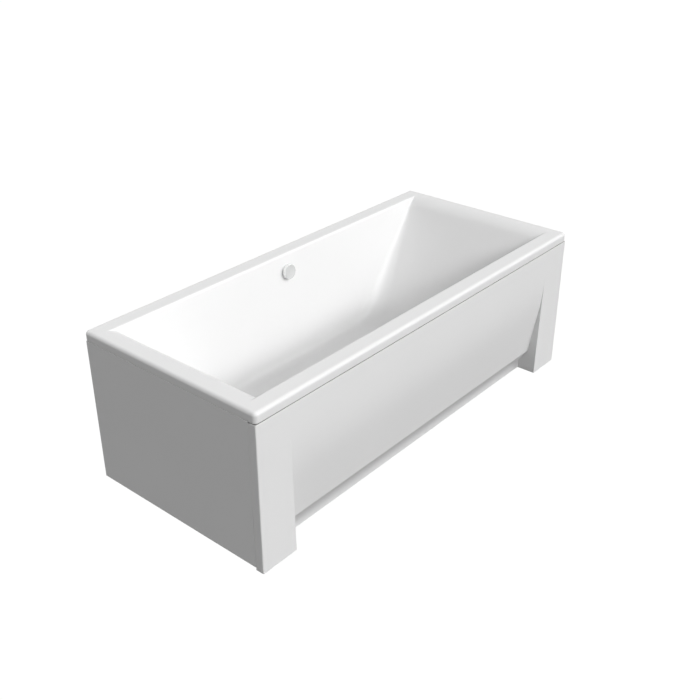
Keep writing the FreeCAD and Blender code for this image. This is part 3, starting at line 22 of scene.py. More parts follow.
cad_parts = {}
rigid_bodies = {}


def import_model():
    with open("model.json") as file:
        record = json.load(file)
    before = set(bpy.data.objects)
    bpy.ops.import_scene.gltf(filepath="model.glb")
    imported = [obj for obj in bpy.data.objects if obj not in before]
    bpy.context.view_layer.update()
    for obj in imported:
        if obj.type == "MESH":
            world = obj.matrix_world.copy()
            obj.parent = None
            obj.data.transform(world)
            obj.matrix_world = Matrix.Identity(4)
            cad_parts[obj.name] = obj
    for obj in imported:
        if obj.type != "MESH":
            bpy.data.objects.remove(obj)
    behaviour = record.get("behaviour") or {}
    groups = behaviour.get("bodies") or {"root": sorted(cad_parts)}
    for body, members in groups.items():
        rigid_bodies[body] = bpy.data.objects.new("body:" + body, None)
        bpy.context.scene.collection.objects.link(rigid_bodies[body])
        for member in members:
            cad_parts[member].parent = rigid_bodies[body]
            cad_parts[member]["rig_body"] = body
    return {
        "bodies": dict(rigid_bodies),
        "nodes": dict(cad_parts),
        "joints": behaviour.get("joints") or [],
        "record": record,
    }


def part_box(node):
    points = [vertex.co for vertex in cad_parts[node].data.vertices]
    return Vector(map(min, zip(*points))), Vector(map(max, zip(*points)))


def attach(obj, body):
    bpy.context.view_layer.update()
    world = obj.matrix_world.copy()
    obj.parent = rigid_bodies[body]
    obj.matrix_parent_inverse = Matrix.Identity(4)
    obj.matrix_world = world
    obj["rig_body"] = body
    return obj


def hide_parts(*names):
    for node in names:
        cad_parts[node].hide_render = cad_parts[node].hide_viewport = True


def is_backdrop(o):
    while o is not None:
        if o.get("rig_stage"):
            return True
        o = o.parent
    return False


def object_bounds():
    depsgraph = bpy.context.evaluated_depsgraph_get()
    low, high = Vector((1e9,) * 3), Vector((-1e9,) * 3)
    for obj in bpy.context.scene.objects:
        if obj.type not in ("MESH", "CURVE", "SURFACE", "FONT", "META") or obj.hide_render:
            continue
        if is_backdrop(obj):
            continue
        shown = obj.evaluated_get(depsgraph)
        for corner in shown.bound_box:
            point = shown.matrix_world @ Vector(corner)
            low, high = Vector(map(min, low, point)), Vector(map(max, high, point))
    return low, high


LOG = logging.getLogger("bathtub")

Triple = tuple[float, float, float]
Span = tuple[float, float]
Profile = Sequence[Span]
Stops = Sequence[tuple[float, Triple]]
Socket = bpy.types.NodeSocket

RIM_HEIGHT = 0.600
HALF_LENGTH = 0.900
HALF_WIDTH = 0.400
FLOOR_TOP = 0.145
LIP_BOTTOM = 0.564
OVERFLOW_DROP = 0.073  # from the rim down to the overflow's middle
SMOOTH_ANGLE = math.radians(32)
FLAT_ANGLE = math.radians(0.4)
MERGE_DISTANCE = 1e-6
PINHOLE = 0.00005  # radius where a turned profile ends at its axis
QUARTER = math.pi / 2
WHITE = (1.0, 1.0, 1.0, 1.0)
BLACK = (0.0, 0.0, 0.0, 1.0)


# ---------------------------------------------------------------- nodes


class NodeTree:
    """Short names for the nodes and links of one tree."""

    def __init__(self, tree: bpy.types.NodeTree) -> None:
        """Take the tree that the nodes go into."""
        self.tree = tree

    def give(self, into: Socket, value: object) -> None:
        """Link an output to an input, or set the input to a value.

        Args:
            into: The input.
            value: The output or the value.
        """
        if isinstance(value, Socket):
            self.tree.links.new(value, into)
        else:
            into.default_value = value

    def node(
        self, kind: str, inputs: dict[str, object] | None = None, **values: object
    ) -> bpy.types.Node:
        """Add a node.

        Args:
            kind: Blender's node type.
            inputs: Output or value for each input, by name.
            **values: Attributes of the node.

        Returns:
            The new node.
        """
        made = self.tree.nodes.new(kind)
        for key, value in values.items():
            setattr(made, key, value)
        for key, value in (inputs or {}).items():
            self.give(made.inputs[key], value)
        return made

    def worked_out(self, operation: str, *terms: object) -> Socket:
        """Result of one sum.

        Args:
            operation: Kind of sum.
            *terms: Outputs or numbers that it takes.

        Returns:
            The result.
        """
        made = self.node("ShaderNodeMath", operation=operation)
        for into, term in zip(made.inputs, terms):
            self.give(into, term)
        return made.outputs["Value"]


class ShaderTree(NodeTree):
    """Nodes of one material."""

    def __init__(self, name: str) -> None:
        """Start a material with a Principled shader.

        Args:
            name: The material's name.
        """
        self.material = bpy.data.materials.new(name)
        self.material.use_nodes = True
        super().__init__(self.material.node_tree)
        self.shader = self.tree.nodes["Principled BSDF"]
        self.coordinates = self.node("ShaderNodeTexCoord").outputs["Object"]

    def stretched(self, scale: Triple) -> Socket:
        """Object coordinates, scaled by axis."""
        inputs = {"Scale": scale, "Vector": self.coordinates}
        return self.node("ShaderNodeMapping", inputs).outputs["Vector"]

    def noise(
        self,
        scale: float,
        detail: float = 3.0,
        vector: Socket | None = None,
        distortion: float = 0.0,
    ) -> Socket:
        """Noise texture.

        Args:
            scale: Cells in a metre.
            detail: Octaves.
            vector: Coordinates, or None for the plain object coordinates.
            distortion: Warp of the pattern.

        Returns:
            The grey output.
        """
        size = {"Scale": scale, "Detail": detail, "Distortion": distortion}
        inputs = {**size, "Vector": vector or self.coordinates}
        return self.node("ShaderNodeTexNoise", inputs).outputs["Fac"]

    def cells(self, scale: float, stretch: Triple) -> bpy.types.Node:
        """Voronoi texture.

        Args:
            scale: Cells in a metre.
            stretch: Factor along X, Y and Z.

        Returns:
            The texture node.
        """
        inputs = {"Scale": scale, "Vector": self.stretched(stretch)}
        return self.node("ShaderNodeTexVoronoi", inputs)

    def spread(self, value: Socket, low: float, high: float) -> Socket:
        """Map 0 to 1 onto low to high."""
        inputs = {"To Min": low, "To Max": high, "Value": value}
        return self.node("ShaderNodeMapRange", inputs).outputs["Result"]

    def ramp(self, value: Socket, stops: Stops) -> Socket:
        """Colour ramp.

        Args:
            value: The grey input.
            stops: Position and colour of each stop.

        Returns:
            The colour output.
        """
        made = self.node("ShaderNodeValToRGB", {"Fac": value})
        ramp = made.color_ramp
        while len(ramp.elements) < len(stops):
            ramp.elements.new(0.5)
        for element, (place, colour) in zip(ramp.elements, stops):
            element.position = place
            element.color = (*colour, 1.0)
        return made.outputs["Color"]

    def finished(
        self,
        colour: Socket,
        roughness: Socket,
        height: Socket,
        share: float,
        depth: float,
        **values: float,
    ) -> bpy.types.Material:
        """Link the textures to the shader.

        Args:
            colour: The colour.
            roughness: The roughness.
            height: The grey height of the relief.
            share: How much of the relief shows.
            depth: Depth of the relief in metres.
            **values: Other inputs of the shader, with _ for a space.

        Returns:
            The finished material.
        """
        relief = {"Strength": share, "Distance": depth, "Height": height}
        normal = self.node("ShaderNodeBump", relief).outputs["Normal"]
        inputs = {"Base Color": colour, "Roughness": roughness, "Normal": normal, **values}
        for key, value in inputs.items():
            self.give(self.shader.inputs[key.replace("_", " ")], value)
        return self.material


# ---------------------------------------------------------------- finishes


@dataclass(frozen=True)
class SanitaryAcrylic:
    """Glossy white acrylic with a faint ripple from forming."""

    name: str
    tone: Triple = (0.80, 0.80, 0.80)
    shade: float = 0.985
    roughness: Span = (0.285, 0.345)
    ripple: float = 0.00003

    def material(self) -> bpy.types.Material:
        """Build the material.

        Returns:
            The finished material.
        """
        tree = ShaderTree(self.name)
        low = tuple(c * self.shade for c in self.tone)
        return tree.finished(
            tree.ramp(tree.noise(scale=2.2, detail=2.0), [(0.3, low), (0.7, self.tone)]),
            tree.spread(tree.noise(scale=9.0), *self.roughness),
            tree.noise(scale=14.0, detail=1.0),
            share=0.25,
            depth=self.ripple,
            IOR=1.49,
            Specular_IOR_Level=0.4,
        )


@dataclass(frozen=True)
class SprayedGlassFibre:
    """Chopped strands in hardened resin: cream, lumpy and half shiny."""

    name: str
    tones: Stops = (
        (0.0, (0.66, 0.66, 0.58)),
        (0.25, (0.78, 0.78, 0.71)),
        (0.8, (0.86, 0.86, 0.81)),
    )
    roughness: Span = (0.35, 0.65)
    relief: float = 0.0012

    def material(self) -> bpy.types.Material:
        """Build the material.

        Returns:
            The finished material.
        """
        tree = ShaderTree(self.name)
        strands = tree.cells(scale=55.0, stretch=(1.0, 3.5, 1.6)).outputs["Distance"]
        crossing = tree.cells(scale=48.0, stretch=(3.2, 1.0, 2.1)).outputs["Distance"]
        mat = tree.worked_out("MULTIPLY", strands, crossing)
        rough = tree.spread(tree.noise(scale=30.0), *self.roughness)
        return tree.finished(tree.ramp(mat, self.tones), rough, mat, share=0.6, depth=self.relief)


class Grain(Enum):
    """Direction of a plank's grain."""

    ALONG_X = (1.0, 14.0, 14.0)
    ALONG_Y = (14.0, 1.0, 14.0)


@dataclass(frozen=True)
class PlanedSoftwood:
    """Pale planed timber with long grain."""

    name: str
    grain: Grain
    tones: Stops = (
        (0.32, (0.42, 0.26, 0.13)),
        (0.5, (0.60, 0.42, 0.24)),
        (0.68, (0.68, 0.51, 0.32)),
    )
    roughness: Span = (0.75, 0.55)
    relief: float = 0.0004

    def material(self) -> bpy.types.Material:
        """Build the material.

        Returns:
            The finished material.
        """
        tree = ShaderTree(self.name)
        vector = tree.stretched(self.grain.value)
        rings = tree.noise(scale=6.0, detail=5.0, vector=vector, distortion=0.8)
        fibres = tree.noise(scale=40.0, detail=4.0, vector=vector)
        colour, rough = tree.ramp(rings, self.tones), tree.spread(rings, *self.roughness)
        return tree.finished(colour, rough, fibres, share=0.35, depth=self.relief)


@dataclass(frozen=True)
class PressedChips:
    """Chipboard: flat chips of several browns with dark glue between."""

    name: str
    tones: Stops = (
        (0.0, (0.34, 0.23, 0.12)),
        (0.5, (0.50, 0.36, 0.20)),
        (1.0, (0.62, 0.48, 0.30)),
    )
    roughness: Span = (0.7, 0.9)
    relief: float = 0.0005

    def material(self) -> bpy.types.Material:
        """Build the material.

        Returns:
            The finished material.
        """
        tree = ShaderTree(self.name)
        chips = tree.cells(scale=190.0, stretch=(1.0, 1.7, 1.0)).outputs
        pick = tree.node("ShaderNodeSeparateColor", {"Color": chips["Color"]}).outputs
        colour = tree.ramp(pick["Red"], self.tones)
        rough = tree.spread(pick["Green"], *self.roughness)
        return tree.finished(colour, rough, chips["Distance"], share=0.4, depth=self.relief)


@dataclass(frozen=True)
class PlatedMetal:
    """Metal with a thin plating: tone, gloss and a little cloudiness."""

    name: str
    tone: Triple
    dull: Triple
    roughness: Span
    spot: float = 60.0
    relief: float = 0.00005
    metallic: float = 1.0

    def material(self) -> bpy.types.Material:
        """Build the material.

        Returns:
            The finished material.
        """
        tree = ShaderTree(self.name)
        cloud = tree.noise(self.spot, detail=4.0)
        return tree.finished(
            tree.ramp(cloud, [(0.35, self.dull), (0.65, self.tone)]),
            tree.spread(cloud, *self.roughness),
            tree.noise(self.spot * 8, detail=2.0),
            share=0.3,
            depth=self.relief,
            Metallic=self.metallic,
        )


@dataclass(frozen=True)
class MouldedPlastic:
    """Injection-moulded plastic with a fine spark-eroded texture."""

    name: str
    tone: Triple
    roughness: Span = (0.38, 0.5)
    texture: float = 900.0
    relief: float = 0.00006

    def material(self) -> bpy.types.Material:
        """Build the material.

        Returns:
            The finished material.
        """
        tree = ShaderTree(self.name)
        cloud = tree.noise(scale=25.0, detail=2.0)
        low = tuple(c * 0.9 for c in self.tone)
        return tree.finished(
            tree.ramp(cloud, [(0.3, low), (0.7, self.tone)]),
            tree.spread(cloud, *self.roughness),
            tree.noise(self.texture, detail=1.0),
            share=0.3,
            depth=self.relief,
        )


@dataclass(frozen=True)
class SealRubber:
    """Matt black rubber."""

    name: str
    tones: Stops = ((0.3, (0.016, 0.016, 0.017)), (0.8, (0.034, 0.034, 0.035)))
    roughness: Span = (0.65, 0.85)
    relief: float = 0.0001

    def material(self) -> bpy.types.Material:
        """Build the material.

        Returns:
            The finished material.
        """
        tree = ShaderTree(self.name)
        grain = tree.noise(scale=400.0)
        colour, rough = tree.ramp(grain, self.tones), tree.spread(grain, *self.roughness)
        return tree.finished(colour, rough, grain, share=0.3, depth=self.relief, Sheen_Weight=0.1)


class Finishes:
    """All materials of the tub: one for each slot of its record, and three for single pieces."""

    def __init__(self) -> None:
        """Build every material once."""
        zinc = ((0.62, 0.63, 0.65), (0.50, 0.51, 0.53))
        steel = ((0.58, 0.57, 0.56), (0.50, 0.49, 0.48))
        chrome = ((0.80, 0.81, 0.82), (0.77, 0.78, 0.79))
        pale_chrome = ((0.93, 0.935, 0.93), (0.90, 0.91, 0.905))
        brass = ((0.72, 0.55, 0.26), (0.62, 0.46, 0.20))
        even = {"spot": 90.0, "relief": 0.00001}
        slots = {
            "acrylic": SanitaryAcrylic("bath acrylic"),
            "panel_acrylic": SanitaryAcrylic("panel acrylic", ripple=0.00006),
            "glass_fibre": SprayedGlassFibre("sprayed glass fibre"),
            "chipboard": PressedChips("chipboard"),
            "softwood": PlanedSoftwood("softwood along", Grain.ALONG_X),
            "zinc_steel": PlatedMetal("zinc-plated sheet", *zinc, (0.28, 0.42)),
            "screw_steel": PlatedMetal("zinc-plated screws", *zinc, (0.22, 0.35), spot=200.0),
            "stainless": PlatedMetal("stainless steel", *steel, (0.18, 0.28), spot=300.0),
            "chrome": PlatedMetal("polished chrome", *chrome, (0.05, 0.09), **even),
            "brass": PlatedMetal("turned brass", *brass, (0.2, 0.32), spot=300.0),
            "grey_nylon": MouldedPlastic("dark nylon", (0.035, 0.036, 0.038)),
            "white_pp": MouldedPlastic("white polypropylene", (0.72, 0.72, 0.70)),
            "hose_plastic": MouldedPlastic("grey hose", (0.30, 0.31, 0.33), (0.3, 0.42)),
            "rubber": SealRubber("seal rubber"),
        }
        self.slots = {slot: finish.material() for slot, finish in slots.items()}
        across = PlanedSoftwood("softwood across", Grain.ALONG_Y)
        bright = PlatedMetal("bright chrome", *pale_chrome, (0.08, 0.12), metallic=0.55, **even)
        # dark acrylic for the panels' top flange under the rim: painted shade that darkens the
        # gap line between the rim and the panel
        gap_shade = SanitaryAcrylic("acrylic painted with gap shade", (0.30, 0.30, 0.29))
        self.softwood_across = across.material()
        self.bright_chrome = bright.material()
        self.gap_shade_acrylic = gap_shade.material()


# ---------------------------------------------------------------- mesh helpers


def linked(name: str, data: bpy.types.ID) -> bpy.types.Object:
    """Put data into the scene as an object.

    Args:
        name: The object's name.
        data: Its mesh, curve, light or camera.

    Returns:
        The new object.
    """
    made = bpy.data.objects.new(name, data)
    bpy.context.scene.collection.objects.link(made)
    return made


def object_from(
    name: str, mesh: bpy.types.Mesh, material: bpy.types.Material
) -> bpy.types.Object:
    """Link a mesh as an object with one material.

    Args:
        name: The piece's name.
        mesh: Its mesh.
        material: Its material.

    Returns:
        The new object.
    """
    mesh.materials.clear()
    mesh.materials.append(material)
    return linked(name, mesh)


def smooth(mesh: bpy.types.Mesh, angle: float = SMOOTH_ANGLE) -> None:
    """Shade a mesh smooth, with sharp edges over an angle."""
    mesh.shade_smooth()
    mesh.set_sharp_from_angle(angle=angle)


def mesh_of(name: str, points: np.ndarray, faces: Sequence[Sequence[int]]) -> bpy.types.Mesh:
    """Mesh from points and faces, with its faces turned outwards.

    Args:
        name: The mesh's name.
        points: One row of X, Y and Z for each point.
        faces: Point numbers of each face.

    Returns:
        The mesh.
    """
    mesh = bpy.data.meshes.new(name)
    mesh.from_pydata([tuple(p) for p in points], [], [tuple(f) for f in faces])
    body = bmesh.new()
    body.from_mesh(mesh)
    bmesh.ops.remove_doubles(body, verts=body.verts, dist=MERGE_DISTANCE)
    bmesh.ops.recalc_face_normals(body, faces=body.faces)
    body.to_mesh(mesh)
    body.free()
    smooth(mesh)
    return mesh


def strip_faces(rings: int, around: int, closed: bool) -> list[tuple[int, int, int, int]]:
    """Quads between rings of points.

    Args:
        rings: How many rings there are.
        around: Points in each ring.
        closed: Whether the last ring joins the first.

    Returns:
        Point numbers of each quad.
    """
    faces = []
    for i in range(rings if closed else rings - 1):
        a, b = i * around, ((i + 1) % rings) * around
        for k in range(around):
            n = (k + 1) % around
            faces.append((a + k, a + n, b + n, b + k))
    return faces


def circle(radius: float, angles: np.ndarray, z: float) -> np.ndarray:
    """Points on a level circle about the Z axis, one row for each angle."""
    level = np.full(len(angles), z)
    return np.column_stack([radius * np.cos(angles), radius * np.sin(angles), level])


def turned(name: str, profile: Profile, steps: int) -> bpy.types.Mesh:
    """Closed profile turned about the Z axis.

    Args:
        name: The mesh's name.
        profile: Radius and height of each corner, as a closed loop off the axis.
        steps: Points round the axis.

    Returns:
        The mesh.
    """
    angles = np.linspace(0, 2 * math.pi, steps, endpoint=False)
    rings = [circle(radius, angles, z) for radius, z in profile]
    return mesh_of(name, np.vstack(rings), strip_faces(len(rings), steps, True))


def bevelled(profile: Profile, radius: float, steps: int = 3) -> list[Span]:
    """Round every corner of a closed profile.

    Args:
        profile: Corners of the loop.
        radius: Radius of each corner.
        steps: Pieces in each arc.

    Returns:
        The rounded loop.
    """
    most = 0.45  # share of a side that one arc may take
    rounded: list[Span] = []
    for k, place in enumerate(profile):
        corner = Vector(place)
        back = Vector(profile[k - 1]) - corner
        ahead = Vector(profile[(k + 1) % len(profile)]) - corner
        half = back.normalized().angle(ahead.normalized()) / 2
        reach = min(radius / math.tan(half), back.length * most, ahead.length * most)
        start = corner + back.normalized() * reach
        end = corner + ahead.normalized() * reach
        for s in range(steps + 1):
            t = s / steps
            point = start.lerp(corner, t).lerp(corner.lerp(end, t), t)
            rounded.append((point.x, point.y))
    return rounded


def merged_copy(node: bpy.types.Object, name: str, dissolve: bool) -> bpy.types.Mesh:
    """Copy of a solid's mesh with its loose triangles merged.

    Args:
        node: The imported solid.
        name: The new mesh's name.
        dissolve: Whether to join flat neighbours into one face.

    Returns:
        The copied mesh.
    """
    mesh = node.data.copy()
    mesh.name = name
    body = bmesh.new()
    body.from_mesh(mesh)
    bmesh.ops.remove_doubles(body, verts=body.verts, dist=MERGE_DISTANCE)
    if dissolve:
        bmesh.ops.dissolve_limit(
            body,
            angle_limit=FLAT_ANGLE,
            verts=body.verts,
            edges=body.edges,
            use_dissolve_boundaries=False,
        )
        many_sided = [face for face in body.faces if len(face.verts) > 4]
        bmesh.ops.connect_verts_concave(body, faces=many_sided)
    body.to_mesh(mesh)
    body.free()
    smooth(mesh)
    return mesh


def evaluated(made: bpy.types.Object) -> bpy.types.Mesh:
    """Plain mesh of an object with its modifiers.

    Args:
        made: The object.

    Returns:
        A new mesh.
    """
    graph = bpy.context.evaluated_depsgraph_get()
    graph.update()
    return bpy.data.meshes.new_from_object(made.evaluated_get(graph), depsgraph=graph)


def applied(made: bpy.types.Object) -> None:
    """Turn the modifiers of a mesh object into plain mesh.

    Args:
        made: The object.
    """
    mesh, old = evaluated(made), made.data
    made.modifiers.clear()
    made.data = mesh
    bpy.data.meshes.remove(old)


def modified(made: bpy.types.Object, kind: str, **settings: object) -> None:
    """Apply one modifier to a mesh object.

    Args:
        made: The object.
        kind: Blender's modifier type.
        **settings: Settings of the modifier.
    """
    modifier = made.modifiers.new(kind.lower(), kind)
    for key, value in settings.items():
        setattr(modifier, key, value)
    applied(made)


def cut_away(made: bpy.types.Object, cutter: bpy.types.Object, **settings: object) -> None:
    """Cut one object out of another and remove it.

    Args:
        made: The object that is cut.
        cutter: The object that cuts.
        **settings: Further settings of the cut.
    """
    modified(made, "BOOLEAN", operation="DIFFERENCE", solver="EXACT", object=cutter, **settings)
    bpy.data.objects.remove(cutter)


def flat_faces_first(made: bpy.types.Object) -> None:
    """Weigh shading normals by area, so that flat faces stay evenly lit up to their edges."""
    smooth(made.data)
    modified(made, "WEIGHTED_NORMAL", mode="FACE_AREA", weight=50, keep_sharp=True)


def eased(made: bpy.types.Object, width: float, segments: int, **settings: object) -> None:
    """Round edges of an object and light its flat faces evenly.

    Args:
        made: The object.
        width: Width of the rounding.
        segments: Steps across it.
        **settings: Which edges are rounded.
    """
    modified(made, "BEVEL", width=width, segments=segments, **settings)
    flat_faces_first(made)


# ---------------------------------------------------------------- geometry nodes


class GeometryTree(NodeTree):
    """A geometry node tree with named inputs."""

    def __init__(self, name: str, sizes: dict[str, str]) -> None:
        """Start a tree that takes and gives a geometry.

        Args:
            name: The tree's name.
            sizes: Socket type of each input beside the geometry and the material.
        """
        super().__init__(bpy.data.node_groups.new(name, "GeometryNodeTree"))
        sockets = self.tree.interface
        for way in ("INPUT", "OUTPUT"):
            sockets.new_socket("Geometry", in_out=way, socket_type="NodeSocketGeometry")
        self.identifiers: dict[str, str] = {}
        for size, kind in {**sizes, "Material": "Material"}.items():
            made = sockets.new_socket(size, in_out="INPUT", socket_type=f"NodeSocket{kind}")
            self.identifiers[size] = made.identifier
        self.given = self.node("NodeGroupInput").outputs

    def finish(self, geometry: Socket) -> None:
        """Realize instances, set the material and end the tree.

        Args:
            geometry: The geometry to finish.
        """
        real = self.node("GeometryNodeRealizeInstances", {"Geometry": geometry})
        inputs = {"Geometry": real.outputs["Geometry"], "Material": self.given["Material"]}
        dressed = self.node("GeometryNodeSetMaterial", inputs)
        self.node("NodeGroupOutput", {"Geometry": dressed.outputs["Geometry"]})

    def attach(self, made: bpy.types.Object, **values: object) -> None:
        """Put the tree on an object.

        Args:
            made: The object.
            **values: Value of each named input, with _ for a space.
        """
        modifier = made.modifiers.new("shape", "NODES")
        modifier.node_group = self.tree
        for name, value in values.items():
            modifier[self.identifiers[name.replace("_", " ")]] = value


def repeat_tree() -> GeometryTree:
    """Tree that sets copies of a piece in rows and columns.

    Returns:
        The tree.
    """
    counts = dict.fromkeys(("Row Count", "Column Count"), "Int")
    steps = dict.fromkeys(("Start", "Row Step", "Column Step"), "Vector")
    tree = GeometryTree("rows of one piece", {**counts, **steps})
    given = tree.given
    row_size = {"Count": given["Row Count"], "Offset": given["Row Step"]}
    row_inputs = {**row_size, "Start Location": given["Start"]}
    row = tree.node("GeometryNodeMeshLine", row_inputs, mode="OFFSET")
    column_inputs = {"Count": given["Column Count"], "Offset": given["Column Step"]}
    column = tree.node("GeometryNodeMeshLine", column_inputs, mode="OFFSET")
    grid_inputs = {"Points": row.outputs["Mesh"], "Instance": column.outputs["Mesh"]}
    grid = tree.node("GeometryNodeInstanceOnPoints", grid_inputs).outputs["Instances"]
    places = tree.node("GeometryNodeRealizeInstances", {"Geometry": grid})
    copy_inputs = {"Points": places.outputs["Geometry"], "Instance": given["Geometry"]}
    tree.finish(tree.node("GeometryNodeInstanceOnPoints", copy_inputs).outputs["Instances"])
    return tree


def corrugated_tree() -> GeometryTree:
    """Tree that turns a route into a ribbed tube.

    Returns:
        The tree.
    """
    floats = dict.fromkeys(("Radius", "Rib Depth", "Rib Pitch", "Step"), "Float")
    tree = GeometryTree("ribbed tube on a route", {**floats, "Sides": "Int"})
    given = tree.given
    route_inputs = {"Curve": given["Geometry"], "Length": given["Step"]}
    route = tree.node("GeometryNodeResampleCurve", route_inputs, mode="LENGTH")
    along = tree.node("GeometryNodeSplineParameter").outputs["Length"]
    ribs = tree.worked_out("DIVIDE", along, given["Rib Pitch"])
    wave = tree.worked_out("COSINE", tree.worked_out("MULTIPLY", ribs, 2 * math.pi))
    dip = tree.worked_out("SUBTRACT", wave, 1.0)
    half_depth = tree.worked_out("MULTIPLY", given["Rib Depth"], 0.5)
    radius = tree.worked_out("MULTIPLY_ADD", dip, half_depth, given["Radius"])
    ring_inputs = {"Radius": 1.0, "Resolution": given["Sides"]}
    ring = tree.node("GeometryNodeCurvePrimitiveCircle", ring_inputs, mode="RADIUS")
    paths = {"Curve": route.outputs["Curve"], "Profile Curve": ring.outputs["Curve"]}
    skin = tree.node("GeometryNodeCurveToMesh", {**paths, "Scale": radius, "Fill Caps": True})
    tree.finish(skin.outputs["Mesh"])
    return tree


# ---------------------------------------------------------------- what all sub-assemblies share


@dataclass
class SubAssembly:
    """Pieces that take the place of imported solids."""

    finishes: Finishes
    frame: dict
    done: set[str]

    def slot(self, node: str) -> str:
        """The record's material slot of a solid."""
        rows = self.frame["record"]["subparts"]
        return next(row["material_slot"] for row in rows if row["node"] == node)

    def place(self, made: bpy.types.Object, node: str, slot: str | None = None) -> None:
        """Put a piece in the place of its solid.

        Args:
            made: The piece.
            node: The solid.
            slot: The record's material slot, where it isn't the solid's own; not used.
        """
        body = self.frame["nodes"][node]["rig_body"]
        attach(made, body)
        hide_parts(node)
        self.done.add(node)
        faces = len(made.data.polygons)
        LOG.info("%s rides on %s for %s: %d faces", made.name, body, node, faces)


# ---------------------------------------------------------------- the tub


@dataclass(frozen=True)
class BasinWall:
    """Section of one basin wall: rolled top, straight slope, rounded foot."""

    deck_edge: float
    roll: float
    tilt: float
    foot: float

    def roll_height(self, offset: float, angle: float) -> float:
        """Height on the roll, at an angle up from the level."""
        return RIM_HEIGHT - self.roll + (self.roll - offset) * math.sin(angle)

    def foot_height(self, offset: float, angle: float) -> float:
        """Height on the foot, at an angle down from the level."""
        return FLOOR_TOP + self.foot - (self.foot + offset) * math.sin(angle)

    def roll_end(self, offset: float) -> float:
        """Height where the roll meets the slope."""
        return self.roll_height(offset, self.tilt)

    def foot_start(self, offset: float) -> float:
        """Height where the slope meets the foot."""
        return self.foot_height(offset, self.tilt)

    def reach(self, z: float, offset: float = 0.0) -> float:
        """Distance from the middle of the tub at one height.

        Args:
            z: Height.
            offset: How far the surface is moved into the material.

        Returns:
            The distance.
        """
        if z >= self.roll_end(offset):
            radius = self.roll - offset
            rise = z - (RIM_HEIGHT - self.roll)
            return self.deck_edge - math.sqrt(max(radius**2 - rise**2, 0.0))
        top = self.deck_edge - (self.roll - offset) * math.cos(self.tilt)
        low = self.foot_start(offset)
        drop = self.roll_end(offset) - max(z, low)
        slope = top - drop * math.tan(self.tilt)
        if z >= low:
            return slope
        radius = self.foot + offset
        centre = slope - radius * math.cos(self.tilt)
        fall = FLOOR_TOP + self.foot - z
        return centre + math.sqrt(max(radius**2 - fall**2, 0.0))

    def levels(self, offset: float, roll_steps: int, foot_steps: int) -> list[float]:
        """Heights that follow the two rounded parts evenly.

        Args:
            offset: How far the surface is moved into the material.
            roll_steps: Steps over the roll.
            foot_steps: Steps over the foot.

        Returns:
            The heights.
        """
        heights = []
        for k in range(roll_steps + 1):
            angle = QUARTER + (self.tilt - QUARTER) * k / roll_steps
            heights.append(self.roll_height(offset, angle))
        for k in range(foot_steps + 1):
            angle = self.tilt + (QUARTER - self.tilt) * k / foot_steps
            heights.append(self.foot_height(offset, angle))
        return heights


SIDE_TILT = math.radians(5.1)
END_TILT = math.radians(38.0)
SIDE_FOOT = 0.045
END_FOOT = SIDE_FOOT * (1 - math.sin(SIDE_TILT)) / (1 - math.sin(END_TILT))
SIDE_WALL = BasinWall(0.339, 0.009, SIDE_TILT, SIDE_FOOT)
END_WALL = BasinWall(0.862, 0.078, END_TILT, END_FOOT)


def on_back_wall() -> Matrix:
    """Frame of the overflow: +Z into the basin, +Y up the wall.

    Returns:
        The frame's place and turn.
    """
    z = RIM_HEIGHT - OVERFLOW_DROP
    place = Matrix.Translation((0.0, SIDE_WALL.reach(z), z))
    return place @ Matrix.Rotation(QUARTER - SIDE_TILT, 4, "X")


